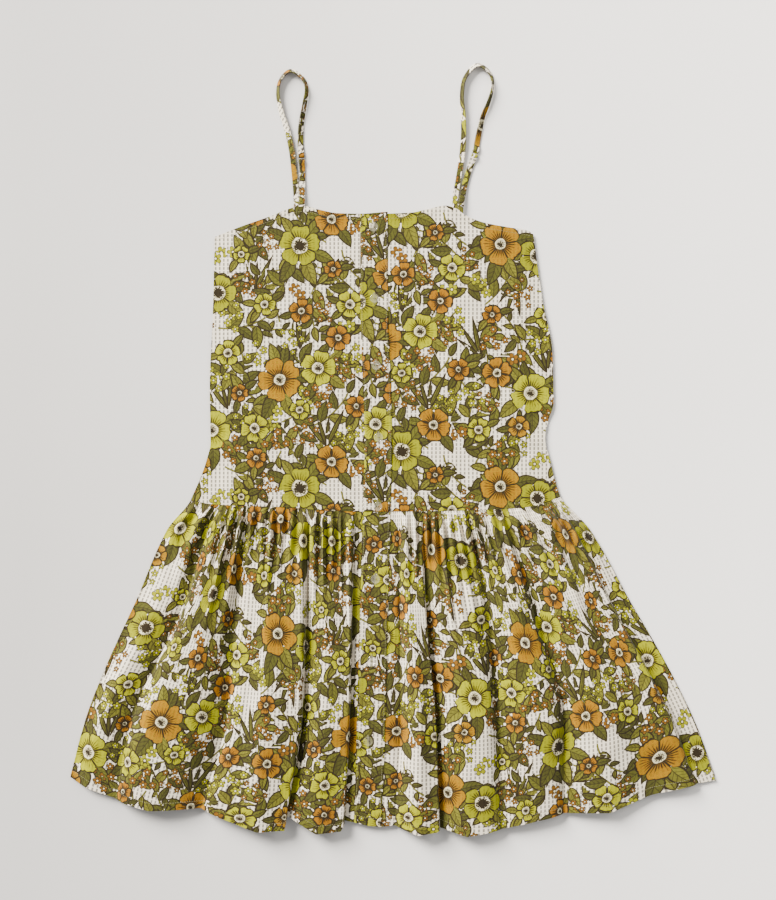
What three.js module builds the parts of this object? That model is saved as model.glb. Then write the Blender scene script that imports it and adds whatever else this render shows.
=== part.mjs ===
// A camisole sundress laid out flat, face up, in millimetres: a button-front bodice on narrow adjustable
// straps, and a skirt gathered into a dropped waist. X runs across the dress, from the wearer's right side
// to the left, Y runs up towards the straps, and Z up from the surface that the dress lies on. X = 0 is the
// middle of the bodice and Y = 0 the waist seam at the middle, until the last lines move the whole so that
// its box is centred.
import * as THREE from "three";

// Cloth
const CLOTH = 1.2; // wall of a panel
const SEAM = 0.3; // gap between pieces that lie on each other
const WAIST_SEAM = 0.44; // gap across the waist seam
const LAYER = CLOTH + SEAM; // from the middle of one layer to the middle of the next
const FRONT_LEVEL = 1.5 * CLOTH + SEAM; // middle of a front panel where it lies right on the back

// Bodice
const NECK_DROP_BACK = 5; // how far the back's top edge lies under the front's
const BODICE_LOFT = 2.2; // how far the front stands off the back inside the side seams
const BUST_LOFT = 1.1;
const BUST = { x: 96, y: 262, reach: 62 };
const SIDE_ROLL = 0.2; // share of a panel's width over which it comes down to the side seam

// Button band, from the neckline to the hem, on top of both fronts
const BAND_WIDTH = 33;
const BUTTON = { radius: 5.6, height: 2, holeRadius: 0.8, holeAway: 1.4, sides: 24, holeSides: 8 };

// Gathers, at the top of the skirt
const GATHER_HEIGHT = 3.4;
const GATHER_AT_SEAM = 0.35; // share of their height right at the seam
const GATHER_FULL = 0.045; // where they stand highest, as a share of the skirt's length
const GATHER_END = 0.34; // where they have run out
const BACK_GATHERS = 18;
const BACK_WAVE = { waist: 1.2, hip: 0.7, hem: 1.6 };
const SIDE_PUFF = { out: 9, full: -22, gone: -120 }; // the gathers push the sides out just under the seam

// Straps
const STRAP = { width: 7, thickness: 1.4, steps: 44 };
const TAIL = { width: 7, thickness: 1.8, steps: 12 };
const SLIDER = { width: 10, length: 8.4, thickness: 1.5, rail: 1.3 };

// The middle of the button band: it bows a little as the dress lies.
const BAND_LINE = [
  { y: -376, x: -9 },
  { y: -270, x: -4.8 },
  { y: -178, x: -3 },
  { y: -80, x: -1 },
  { y: 0, x: 1.8 },
  { y: 84, x: 4 },
  { y: 132, x: 3 },
  { y: 252, x: -1 },
  { y: 356, x: -1.2 },
];

// The bodice's side edges, waist to underarm.
const RIGHT_SIDE = [
  { y: 14, x: -220.8 },
  { y: 44, x: -207.6 },
  { y: 66, x: -200.4 },
  { y: 82, x: -197 },
  { y: 150, x: -198 },
  { y: 234, x: -194.4 },
  { y: 329, x: -192 },
];
const LEFT_SIDE = [
  { y: 18, x: 222 },
  { y: 30, x: 217.8 },
  { y: 59, x: 210.5 },
  { y: 88, x: 203.6 },
  { y: 110, x: 208 },
  { y: 130, x: 214 },
  { y: 190, x: 212.6 },
  { y: 255, x: 200.4 },
  { y: 332, x: 189.6 },
];

// The front's top edge: it peaks where the straps are sewn in.
const NECKLINE = [
  { x: -193, y: 328.6 },
  { x: -161, y: 341 },
  { x: -125, y: 353.4 },
  { x: -98, y: 363.6 },
  { x: -84, y: 365.4 },
  { x: -65, y: 361 },
  { x: -45, y: 357.2 },
  { x: 0, y: 356.4 },
  { x: 43, y: 357.8 },
  { x: 62, y: 361.6 },
  { x: 84, y: 366.2 },
  { x: 98, y: 362 },
  { x: 108, y: 354.6 },
  { x: 131, y: 345.8 },
  { x: 162, y: 340 },
  { x: 183, y: 336.6 },
  { x: 191, y: 331.4 },
];

// The waist seam sags a little between the side seams.
const WAIST = [
  { x: -222, y: 14 },
  { x: -193, y: 8.6 },
  { x: -104, y: 5 },
  { x: -50, y: 0.8 },
  { x: 0, y: 0 },
  { x: 79, y: 0.8 },
  { x: 148, y: 3 },
  { x: 186, y: 6 },
  { x: 223, y: 18 },
];

// The front of the skirt, from the wearer's right side seam to the left one, as the lines that its folds
// follow: where each line lies across the dress at the waist, the hip, low on the skirt and at the hem, how
// far down its hem is, and how far it stands up at each of the four. A crease is a sharp valley. Gathers
// counts those up to the next.
const HIP_Y = -130;
const LOW_Y = -250;
const SKIRT_LINES = [
  { at: "side seam", x: [-220.8, -297, -347, -365], hem: -318, rise: [0, 0, 0, 0], gathers: 1 },
  { at: "side roll", x: [-206, -268, -322, -342], hem: -330, rise: [0.6, 4, 6, 5], gathers: 1 },
  { at: "crease", x: [-187, -236, -285, -308], hem: -342.5, rise: [0, 0.3, 0.6, 1.5], gathers: 1 },
  { at: "fold", x: [-172, -206, -237, -264], hem: -355.2, rise: [0.8, 8, 12, 14], gathers: 2 },
  { at: "valley", x: [-152, -168, -184, -212], hem: -354, rise: [0, 2, 2.5, 1.5], gathers: 1 },
  { at: "flank", x: [-138, -146, -158, -184], hem: -364.8, rise: [0.4, 4.5, 6, 7], gathers: 2 },
  { at: "fold", x: [-117, -124, -131, -140], hem: -380, rise: [0.8, 7, 10, 12], gathers: 2 },
  { at: "lip", x: [-92, -98, -102, -113], hem: -379, rise: [0.4, 5, 7, 8], gathers: 1 },
  { at: "crease", x: [-79, -82, -87, -108.5], hem: -361, rise: [0, 0.4, 0.6, 1], gathers: 2 },
  { at: "fold", x: [-56, -55, -60, -70], hem: -383, rise: [0.8, 6, 8, 10], gathers: 2 },
  { at: "lip", x: [-36, -36, -38, -44], hem: -380.5, rise: [0.4, 4.5, 6, 7], gathers: 1 },
  { at: "crease", x: [-23, -27, -30, -36.5], hem: -369, rise: [0, 1, 1, 1], gathers: 0 },
  { at: "band edge", x: [-14.7, -17.9, -21.3, -25], hem: -371, rise: [0, 2, 2, 2], gathers: 0 },
  { at: "centre front", x: [1.8, -1.9, -4.4, -9], hem: -375, rise: [0, 2, 2, 2], gathers: 0 },
  { at: "band edge", x: [18.3, 15, 12.3, 7.5], hem: -376.5, rise: [0, 2, 2, 2], gathers: 0 },
  { at: "valley", x: [28, 30, 30, 24], hem: -375, rise: [0, 1, 1, 1], gathers: 1 },
  { at: "fold", x: [43, 47, 53, 52], hem: -384.2, rise: [0.8, 7, 9, 12], gathers: 1 },
  { at: "lip", x: [52, 56, 66, 70], hem: -381, rise: [0.4, 5, 7, 9], gathers: 0 },
  { at: "crease", x: [57, 62, 72, 77], hem: -377, rise: [0, 0.4, 0.5, 0.5], gathers: 3 },
  { at: "fold", x: [83, 95, 107, 104], hem: -386.2, rise: [0.8, 7, 9, 10], gathers: 3 },
  { at: "crease", x: [110, 137, 156, 158], hem: -378, rise: [0, 0.8, 3, 5], gathers: 2 },
  { at: "fold", x: [131, 165, 186, 188], hem: -368.5, rise: [0.8, 8, 8, 6.5], gathers: 2 },
  { at: "crease", x: [152, 194, 224, 224], hem: -360, rise: [0, 0.4, 1, 1.8], gathers: 2 },
  { at: "fold", x: [180, 237, 272, 274], hem: -358, rise: [0.8, 9, 12, 14], gathers: 1 },
  { at: "valley", x: [200, 270, 319, 330], hem: -338, rise: [0, 3, 3, 2], gathers: 1 },
  { at: "side roll", x: [212, 292, 353, 378], hem: -326.5, rise: [0.6, 6, 8, 9], gathers: 1 },
  { at: "side seam", x: [222, 318, 381, 408], hem: -322, rise: [0, 0, 0, 0], gathers: 0 },
];
const CENTRE_LINE = SKIRT_LINES.findIndex((line) => line.at === "centre front");
const GATHER_ROWS = [0, 0.014, 0.035, 0.065, 0.11, 0.17];
const FOLD_ROWS = [0.24, 0.32, 0.41, 0.5, 0.6, 0.7, 0.8, 0.9, 1];

// The back of the skirt has its own hem, just inside the front's.
const BACK_HEM = [
  { x: -361, y: -316 },
  { x: -308, y: -336 },
  { x: -212, y: -346 },
  { x: -110, y: -354 },
  { x: 0, y: -365 },
  { x: 110, y: -366 },
  { x: 224, y: -350 },
  { x: 330, y: -330 },
  { x: 408, y: -317 },
];

// Each strap leaves the top edge, goes round in a loop and comes back beside itself to its slider. Roll is
// how far the ribbon has turned up on its edge, in degrees, and lift how far it lies above the surface
// where it goes in between front and back. The tail runs on from the slider to the back's top edge.
const RIGHT_STRAP = [
  { x: -94.4, y: 350, roll: 0, lift: 1.7 },
  { x: -94.4, y: 364, roll: 0, lift: 1.7 },
  { x: -94.8, y: 380, roll: 0, lift: 0 },
  { x: -97, y: 410, roll: 6, lift: 0 },
  { x: -99.6, y: 432, roll: 12, lift: 0 },
  { x: -104.6, y: 455, roll: 24, lift: 0 },
  { x: -112.8, y: 481, roll: 44, lift: 0 },
  { x: -116.4, y: 503, roll: 56, lift: 0 },
  { x: -113, y: 517.5, roll: 55, lift: 0 },
  { x: -101.6, y: 528, roll: 46, lift: 0 },
  { x: -88.4, y: 521, roll: 50, lift: 0 },
  { x: -82, y: 508, roll: 56, lift: 0 },
  { x: -84.4, y: 487, roll: 46, lift: 0 },
  { x: -88.4, y: 464, roll: 28, lift: 0 },
  { x: -89.4, y: 440, roll: 12, lift: 0 },
  { x: -88.8, y: 428, roll: 0, lift: 0 },
];
const RIGHT_TAIL = [
  { x: -87.6, y: 418.6, roll: 0, lift: 0 },
  { x: -86.8, y: 400, roll: 0, lift: 0 },
  { x: -86.6, y: 380, roll: 0, lift: 0 },
  { x: -86.6, y: 364, roll: 0, lift: 1.7 },
  { x: -86.6, y: 350, roll: 0, lift: 1.7 },
];
const LEFT_STRAP = [
  { x: 94.4, y: 350, roll: 0, lift: 1.7 },
  { x: 94.6, y: 364, roll: 0, lift: 1.7 },
  { x: 95.8, y: 380, roll: 0, lift: 0 },
  { x: 98.8, y: 394, roll: 4, lift: 0 },
  { x: 103.6, y: 420, roll: 16, lift: 0 },
  { x: 106, y: 447, roll: 30, lift: 0 },
  { x: 105.8, y: 473, roll: 44, lift: 0 },
  { x: 104, y: 499, roll: 54, lift: 0 },
  { x: 108, y: 520, roll: 50, lift: 0 },
  { x: 122.8, y: 535, roll: 42, lift: 0 },
  { x: 137, y: 526, roll: 50, lift: 0 },
  { x: 141, y: 510, roll: 60, lift: 0 },
  { x: 136.4, y: 491, roll: 54, lift: 0 },
  { x: 129.6, y: 474, roll: 38, lift: 0 },
  { x: 125.6, y: 458, roll: 24, lift: 0 },
  { x: 122.2, y: 441, roll: 8, lift: 0 },
  { x: 121.6, y: 434.4, roll: 0, lift: 0 },
];
const LEFT_TAIL = [
  { x: 118.4, y: 424.4, roll: 0, lift: 0 },
  { x: 112.4, y: 407, roll: 0, lift: 0 },
  { x: 107.6, y: 388, roll: 0, lift: 0 },
  { x: 103.4, y: 366, roll: 0, lift: 1.7 },
  { x: 102.2, y: 350, roll: 0, lift: 1.7 },
];
const RIGHT_SLIDER = { x: -88.2, y: 423.3, turn: 4 };
const LEFT_SLIDER = { x: 120.1, y: 429.1, turn: -14 };

const BUTTONS = [
  { x: -1.6, y: 340.1 },
  { x: -0.6, y: 254.9 },
  { x: 1.4, y: 174.8 },
  { x: 4.3, y: 89 },
  { x: 3.4, y: 6.4 },
  { x: 0.5, y: -80.4 },
  { x: -3.8, y: -177.8 },
  { x: -8.2, y: -273.8 },
];

const NATURAL = new THREE.MeshStandardMaterial({ color: 0xe9e6dd, roughness: 0.9, metalness: 0 });
const RESIN = new THREE.MeshStandardMaterial({ color: 0xe4e2d6, roughness: 0.15, metalness: 0 });

const clamp = (value, low, high) => Math.min(high, Math.max(low, value));
const smooth = (t) => t * t * (3 - 2 * t);
const ramp = (value, from, to) => smooth(clamp((value - from) / (to - from), 0, 1));
const degrees = THREE.MathUtils.degToRad;

// A smooth curve through known values that never swings past them. xs run upwards.
function through(xs, ys, x) {
  const last = xs.length - 1;
  const at = clamp(x, xs[0], xs[last]);
  let k = 0;
  while (k < last - 1 && at > xs[k + 1]) k += 1;
  const slope = (i) => (ys[i + 1] - ys[i]) / (xs[i + 1] - xs[i]);
  const tangent = (i) => {
    if (i === 0) return slope(0);
    if (i === last) return slope(last - 1);
    const before = slope(i - 1);
    const after = slope(i);
    return before * after <= 0 ? 0 : (2 * before * after) / (before + after);
  };
  const step = xs[k + 1] - xs[k];
  const t = (at - xs[k]) / step;
  const rise = smooth(t);
  return (
    ys[k] * (1 - rise) +
    ys[k + 1] * rise +
    step * t * (1 - t) * (tangent(k) * (1 - t) - tangent(k + 1) * t)
  );
}
const read = (table, from, to, value) =>
  through(table.map((row) => row[from]), table.map((row) => row[to]), value);

const bandX = (y) => read(BAND_LINE, "y", "x", y);
const neckY = (x) => read(NECKLINE, "x", "y", x);
const waistY = (x) => read(WAIST, "x", "y", x);
const sideX = (side, y) => read(side < 0 ? RIGHT_SIDE : LEFT_SIDE, "y", "x", y);

// The bodice, across from -1 at the wearer's right side seam to 1 at the left one, and up from 0 at the
// waist to 1 at the top edge.
const loftAcross = (across) => BODICE_LOFT * (1 - ramp(Math.abs(across), 1 - SIDE_ROLL, 1));
function bodicePlan(across, up, drop = 0) {
  const width = (y) => bandX(y) + Math.abs(across) * (sideX(across, y) - bandX(y));
  const bottom = waistY(width(waistY(width(0)))) + WAIST_SEAM / 2;
  const top = neckY(width(355)) - drop;
  const y = bottom + (top - bottom) * up;
  return new THREE.Vector3(width(y), y, 0);
}
function bodiceFront(across, up) {
  const point = bodicePlan(across, up);
  const away = Math.hypot(Math.abs(point.x) - BUST.x, point.y - BUST.y) / BUST.reach;
  point.z = FRONT_LEVEL + loftAcross(across) + BUST_LOFT * Math.exp(-away * away);
  return point;
}

// How high the waves of the skirt's back stand, which the front lies above. They die out at the side seams.
const backWave = (down, share) =>
  through([0, 0.4, 1], [BACK_WAVE.waist, BACK_WAVE.hip, BACK_WAVE.hem], down) *
  ramp(Math.min(share, 1 - share), 0, 0.1);

// The front of the skirt. Line counts the rows of the table above, with a fraction between two of them, and
// down runs from 0 at the waist to 1 at the hem.
function onLine(row, down) {
  const [waist, hip, low, hem] = row.x;
  const top = waistY(waist) - WAIST_SEAM / 2;
  const y = top + (row.hem - top) * down;
  const puff = y > SIDE_PUFF.full ? ramp(y, top, SIDE_PUFF.full) : ramp(y, SIDE_PUFF.gone, SIDE_PUFF.full);
  const side = Math.sign(waist) * Math.abs(waist / 221) ** 6;
  const x = through([row.hem, LOW_Y, HIP_Y, top], [hem, low, hip, waist], y) + SIDE_PUFF.out * puff * side;
  return { x, y, rise: through([0, 1 / 3, 2 / 3, 1], row.rise, down) };
}
function gatherHeight(line, down) {
  const k = clamp(Math.floor(line), 0, SKIRT_LINES.length - 2);
  const count = SKIRT_LINES[k].gathers;
  if (!count) return 0;
  const within = (line - k) * count;
  const which = k + Math.floor(clamp(within, 0, count - 1e-6)) / count;
  const own = 0.5 + 0.5 * Math.sin(4.7 * which); // uneven, but the same each time
  const height = GATHER_HEIGHT * (0.7 + 0.45 * own);
  const upTo = GATHER_AT_SEAM + (1 - GATHER_AT_SEAM) * ramp(down, 0, GATHER_FULL);
  const out = 1 - ramp(down, GATHER_FULL, GATHER_END * (0.65 + 0.35 * own));
  return height * upTo * out * (0.5 - 0.5 * Math.cos(2 * Math.PI * within));
}
function skirtFront(line, down) {
  const k = clamp(Math.floor(line), 0, SKIRT_LINES.length - 2);
  const t = line - k;
  const [row, next] = [SKIRT_LINES[k], SKIRT_LINES[k + 1]];
  const [a, b] = [onLine(row, down), onLine(next, down)];
  let share = smooth(t);
  if (row.at === "crease") share = Math.sin((Math.PI / 2) * t);
  if (next.at === "crease") share = 1 - Math.cos((Math.PI / 2) * t);
  const between = (from, to) => from + (to - from) * t;
  const x = between(a.x, b.x);
  const offSeam = waistY(between(row.x[0], next.x[0])) - between(waistY(row.x[0]), waistY(next.x[0]));
  const y = between(a.y, b.y) + offSeam * (1 - down);
  const across = clamp(x / 221, -1, 1);
  const fromSeam = (1 - down) ** 2;
  const folds = a.rise + (b.rise - a.rise) * share;
  const over = backWave(down, line / (SKIRT_LINES.length - 1));
  const level = Math.max(loftAcross(across) * fromSeam, over) + FRONT_LEVEL;
  return new THREE.Vector3(x, y, level + folds + gatherHeight(line, down));
}

// A surface's own direction outwards, found from points just beside the one asked for.
function outwards(surface, a, b) {
  const near = 1e-3;
  const alongA = surface(a + near, b).sub(surface(a - near, b));
  const alongB = surface(a, b + near).sub(surface(a, b - near));
  const normal = alongA.cross(alongB).normalize();
  return normal.z < 0 ? normal.negate() : normal;
}

// A closed wall from rows of cells, each with its outer and inner point and its place along the row. Rows
// run one way across, from the first at the top edge down, and may differ in how many cells they hold.
function wall(rows) {
  const position = [];
  const index = [];
  rows.forEach((row) =>
    row.forEach((cell) => {
      cell.out = position.push(...cell.outer.toArray()) / 3 - 1;
      cell.in = position.push(...cell.inner.toArray()) / 3 - 1;
    }),
  );
  for (let r = 0; r + 1 < rows.length; r += 1) {
    const [above, below] = [rows[r], rows[r + 1]];
    let [i, j] = [0, 0];
    while (i + 1 < above.length || j + 1 < below.length) {
      const stepAbove =
        j + 1 === below.length || (i + 1 < above.length && above[i + 1].place <= below[j + 1].place);
      const third = stepAbove ? above[i + 1] : below[j + 1];
      index.push(above[i].out, below[j].out, third.out);
      index.push(below[j].in, above[i].in, third.in);
      if (stepAbove) i += 1;
      else j += 1;
    }
  }
  const rim = (from, to) => index.push(from.out, to.out, to.in, from.out, to.in, from.in);
  const [first, last] = [rows[0], rows[rows.length - 1]];
  for (let i = 0; i + 1 < first.length; i += 1) rim(first[i], first[i + 1]);
  for (let i = last.length - 1; i > 0; i -= 1) rim(last[i], last[i - 1]);
  for (let r = 0; r + 1 < rows.length; r += 1) {
    rim(rows[r + 1][0], rows[r][0]);
    rim(rows[r].at(-1), rows[r + 1].at(-1));
  }
  const geometry = new THREE.BufferGeometry();
  geometry.setAttribute("position", new THREE.Float32BufferAttribute(position, 3));
  geometry.setIndex(index);
  return geometry;
}

// Cells of a wall round a surface: its middle may be moved out by whole layers, and a seam's edge is kept
// upright so that it stays clear of the piece beyond.
function cell(surface, a, b, place, { layers = 0, upright = false } = {}) {
  const out = outwards(surface, a, b);
  if (upright) out.setY(0).normalize();
  const middle = surface(a, b).addScaledVector(out, layers * LAYER);
  return {
    place,
    outer: middle.clone().addScaledVector(out, CLOTH / 2),
    inner: middle.clone().addScaledVector(out, -CLOTH / 2),
  };
}
const steps = (from, to, count) =>
  Array.from({ length: count + 1 }, (_, i) => from + ((to - from) * i) / count);

// Each front of the bodice, from its side seam to the middle, where the two meet under the button band.
const BODICE_ROWS = 13;
const BODICE_CELLS = 15;
const MEET = 0.0018; // half the gap between the fronts, as a share of the bodice's half width
function bodiceFrontPanel(side) {
  const across = side < 0 ? steps(-1, -MEET, BODICE_CELLS) : steps(MEET, 1, BODICE_CELLS);
  return wall(
    steps(1, 0, BODICE_ROWS).map((up) =>
      across.map((place) => cell(bodiceFront, place, up, place, { upright: up === 0 })),
    ),
  );
}

// The back of the bodice rests flat on the surface.
function bodiceBackPanel() {
  return wall(
    steps(1, 0, BODICE_ROWS).map((up) =>
      steps(-1, 1, 2 * BODICE_CELLS).map((across) => {
        const inner = bodicePlan(across, up, NECK_DROP_BACK);
        return { place: across, inner, outer: inner.clone().setZ(CLOTH) };
      }),
    ),
  );
}

// Each front of the skirt: fine cells over the gathers, then coarser ones over the folds below.
const CELLS_PER_GATHER = 4;
const CELLS_PER_FOLD = 3;
const CENTRE_GAP = 0.012; // from a front's edge to the middle line, in the table's lines
function skirtFrontPanel(side) {
  const [from, to] = side < 0 ? [0, CENTRE_LINE] : [CENTRE_LINE, SKIRT_LINES.length - 1];
  const places = (count) => {
    const found = [from];
    for (let k = from; k < to; k += 1) {
      found.push(...steps(k, k + 1, Math.max(1, count(SKIRT_LINES[k]))).slice(1));
    }
    if (side < 0) found[found.length - 1] -= CENTRE_GAP;
    else found[0] += CENTRE_GAP;
    return found;
  };
  const fine = places((line) => (line.gathers ? line.gathers * CELLS_PER_GATHER : 2));
  const underBand = ["band edge", "centre front"];
  const coarse = places((line) => (underBand.includes(line.at) ? 2 : CELLS_PER_FOLD));
  const row = (down, across) =>
    across.map((line) => cell(skirtFront, line, down, line, { upright: down === 0 }));
  return wall([...GATHER_ROWS.map((down) => row(down, fine)), ...FOLD_ROWS.map((down) => row(down, coarse))]);
}

// The back of the skirt rests flat between its gathers, which stand a little off the surface.
const BACK_ROWS = [0, 0.03, 0.09, 0.2, 0.36, 0.55, 0.75, 0.9, 1];
const BACK_CELLS_PER_GATHER = 4;
function skirtBackPanel() {
  const [first, last] = [SKIRT_LINES[0], SKIRT_LINES.at(-1)];
  return wall(
    BACK_ROWS.map((down) =>
      steps(0, 1, BACK_GATHERS * BACK_CELLS_PER_GATHER).map((share) => {
        const [a, b] = [onLine(first, down), onLine(last, down)];
        const waistX = first.x[0] + (last.x[0] - first.x[0]) * share;
        const hemX = first.x[3] + (last.x[3] - first.x[3]) * share;
        const top = waistY(waistX) - WAIST_SEAM / 2;
        const y = top + (read(BACK_HEM, "x", "y", hemX) - top) * down;
        const x = a.x + (b.x - a.x) * share;
        const wave = 0.5 - 0.5 * Math.cos(2 * Math.PI * BACK_GATHERS * share);
        const lifted = Math.max(0, wave - 0.35) / 0.65;
        const z = 0.85 * backWave(down, share) * lifted;
        const inner = new THREE.Vector3(x, y, z);
        return { place: share, inner, outer: inner.clone().setZ(z + CLOTH) };
      }),
    ),
  );
}

// The button band lies on the fronts: it is their own surface moved out by one layer.
const BAND_CELLS = 4;
function bodiceBand() {
  const onBodice = (share, up) => {
    const y = bodicePlan(0, up).y;
    const reach = Math.abs(share * BAND_WIDTH) / 2 / Math.abs(sideX(share, y) - bandX(y));
    return bodiceFront(Math.sign(share) * reach, up);
  };
  return wall(
    steps(1, 0, BODICE_ROWS).map((up) =>
      steps(-1, 1, BAND_CELLS).map((share) =>
        cell(onBodice, share, up, share, { layers: 1, upright: up === 0 }),
      ),
    ),
  );
}
function skirtBand() {
  const rows = [...GATHER_ROWS.filter((_, i) => i % 2 === 0), ...FOLD_ROWS];
  return wall(
    rows.map((down) =>
      steps(CENTRE_LINE - 1, CENTRE_LINE + 1, BAND_CELLS).map((line) =>
        cell(skirtFront, line, down, line, { layers: 1, upright: down === 0 }),
      ),
    ),
  );
}

// A flat ribbon along a route on the surface: it rests on whichever edge its roll puts lowest.
function ribbon(route, { width, thickness, steps: count }) {
  const points = route.map(({ x, y }) => new THREE.Vector3(x, y, 0));
  const curve = new THREE.CatmullRomCurve3(points, false, "centripetal");
  const place = steps(0, 1, route.length - 1);
  const position = [];
  const index = [];
  steps(0, 1, count).forEach((t, i) => {
    const middle = curve.getPoint(t);
    const ahead = curve.getTangent(t);
    const roll = degrees(through(place, route.map((row) => row.roll), t));
    const lift = through(place, route.map((row) => row.lift), t);
    const across = new THREE.Vector3(ahead.y, -ahead.x, 0);
    const up = new THREE.Vector3(0, 0, 1);
    const wide = across.clone().multiplyScalar(Math.cos(roll)).addScaledVector(up, Math.sin(roll));
    const thick = across.clone().multiplyScalar(-Math.sin(roll)).addScaledVector(up, Math.cos(roll));
    middle.z = (width / 2) * Math.sin(roll) + (thickness / 2) * Math.cos(roll) + lift;
    [[-1, -1], [1, -1], [1, 1], [-1, 1]].forEach(([w, h]) => {
      const corner = middle.clone();
      corner.addScaledVector(wide, (w * width) / 2).addScaledVector(thick, (h * thickness) / 2);
      position.push(...corner.toArray());
    });
    if (i === 0) return;
    const base = 4 * i;
    for (let c = 0; c < 4; c += 1) {
      const d = (c + 1) % 4;
      index.push(base - 4 + c, base + d, base - 4 + d, base - 4 + c, base + c, base + d);
    }
  });
  const end = 4 * count;
  index.push(0, 1, 2, 0, 2, 3, end, end + 2, end + 1, end, end + 3, end + 2);
  const geometry = new THREE.BufferGeometry();
  geometry.setAttribute("position", new THREE.Float32BufferAttribute(position, 3));
  geometry.setIndex(index);
  return geometry;
}

// A figure-of-eight slider: a frame with a bar across its middle, which the strap goes round.
function sliderGeometry() {
  const { width, length, thickness, rail } = SLIDER;
  const box = (Kind, x0, y0, x1, y1) =>
    new Kind([[x0, y0], [x1, y0], [x1, y1], [x0, y1]].map(([x, y]) => new THREE.Vector2(x, y)));
  const frame = box(THREE.Shape, -width / 2, -length / 2, width / 2, length / 2);
  const slot = width / 2 - rail;
  frame.holes.push(box(THREE.Path, -slot, rail / 2, slot, length / 2 - rail));
  frame.holes.push(box(THREE.Path, -slot, rail - length / 2, slot, -rail / 2));
  return new THREE.ExtrudeGeometry(frame, { depth: thickness, bevelEnabled: false });
}

// A two-hole button: the holes lie side by side.
function buttonGeometry() {
  const { radius, height, holeRadius, holeAway, sides, holeSides } = BUTTON;
  const ring = (cx, cy, r, count) =>
    Array.from({ length: count }, (_, i) => {
      const angle = (2 * Math.PI * i) / count;
      return new THREE.Vector2(cx + r * Math.cos(angle), cy + r * Math.sin(angle));
    });
  const disc = new THREE.Shape(ring(0, 0, radius, sides));
  for (const side of [-1, 1]) {
    disc.holes.push(new THREE.Path(ring(side * holeAway, 0, holeRadius, holeSides)));
  }
  return new THREE.ExtrudeGeometry(disc, { depth: height, bevelEnabled: false });
}

// The top of the button band at a height on the dress, found on the surface that the band follows.
function bandTop(y) {
  const onBodice = y > waistY(0);
  const share = onBodice ? y / neckY(0) : y / SKIRT_LINES[CENTRE_LINE].hem;
  const middle = onBodice ? bodiceFront(0, share) : skirtFront(CENTRE_LINE, share);
  return middle.z + LAYER + CLOTH / 2;
}

const dress = new THREE.Group();
function add(name, geometry, material = NATURAL) {
  const mesh = new THREE.Mesh(geometry, material);
  mesh.name = name;
  dress.add(mesh);
  return mesh;
}

add("bodice_back", bodiceBackPanel());
add("skirt_back", skirtBackPanel());
add("bodice_front_right", bodiceFrontPanel(-1));
add("bodice_front_left", bodiceFrontPanel(1));
add("skirt_front_right", skirtFrontPanel(-1));
add("skirt_front_left", skirtFrontPanel(1));
add("button_band_bodice", bodiceBand());
add("button_band_skirt", skirtBand());
add("strap_right", ribbon(RIGHT_STRAP, STRAP));
add("strap_left", ribbon(LEFT_STRAP, STRAP));
add("strap_tail_right", ribbon(RIGHT_TAIL, TAIL));
add("strap_tail_left", ribbon(LEFT_TAIL, TAIL));
for (const [name, place] of [["strap_slider_right", RIGHT_SLIDER], ["strap_slider_left", LEFT_SLIDER]]) {
  const slider = add(name, sliderGeometry(), RESIN);
  slider.position.set(place.x, place.y, 0);
  slider.rotation.z = degrees(place.turn);
}
BUTTONS.forEach(({ x, y }, i) => {
  const button = add(`button_${i + 1}`, buttonGeometry(), RESIN);
  const under = [y - BUTTON.radius, y, y + BUTTON.radius].map(bandTop);
  button.position.set(x, y, Math.max(...under) + SEAM);
});

// The box's middle goes to the origin, with the surface that the dress lies on at Z = 0.
const box = new THREE.Box3().setFromObject(dress);
const middle = box.getCenter(new THREE.Vector3());
dress.position.set(-middle.x, -middle.y, -box.min.z);

export default dress;
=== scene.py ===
import math
import bpy
import bmesh
import numpy as np
from mathutils import Matrix, Vector


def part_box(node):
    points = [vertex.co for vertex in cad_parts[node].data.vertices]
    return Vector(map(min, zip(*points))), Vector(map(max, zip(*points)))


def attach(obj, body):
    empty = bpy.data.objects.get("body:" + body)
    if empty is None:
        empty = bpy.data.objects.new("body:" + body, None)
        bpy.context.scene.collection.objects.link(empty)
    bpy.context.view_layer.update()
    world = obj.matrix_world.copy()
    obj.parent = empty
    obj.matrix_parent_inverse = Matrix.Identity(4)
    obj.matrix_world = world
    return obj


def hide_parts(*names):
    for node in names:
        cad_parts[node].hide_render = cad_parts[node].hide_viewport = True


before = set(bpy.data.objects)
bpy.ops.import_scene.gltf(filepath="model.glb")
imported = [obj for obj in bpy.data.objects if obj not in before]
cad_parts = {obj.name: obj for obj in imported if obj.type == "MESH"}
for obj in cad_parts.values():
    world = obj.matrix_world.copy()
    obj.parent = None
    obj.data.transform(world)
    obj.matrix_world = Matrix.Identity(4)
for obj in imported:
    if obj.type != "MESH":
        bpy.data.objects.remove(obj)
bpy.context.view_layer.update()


# The back of the bodice
# One piece of a light matt dobby cotton that lies flat on the surface, cut like the fronts but lower at the
# neck. The cloth is woven with a check of short floats on a natural ground, their grey painted shade of the
# woven relief, and screen printed with flowers, leaves and sprigs in flat olive, yellow and ochre inks with
# dark drawn lines.
REPEAT = (260.0, 290.0)  # mm, across and along the cloth
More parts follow.
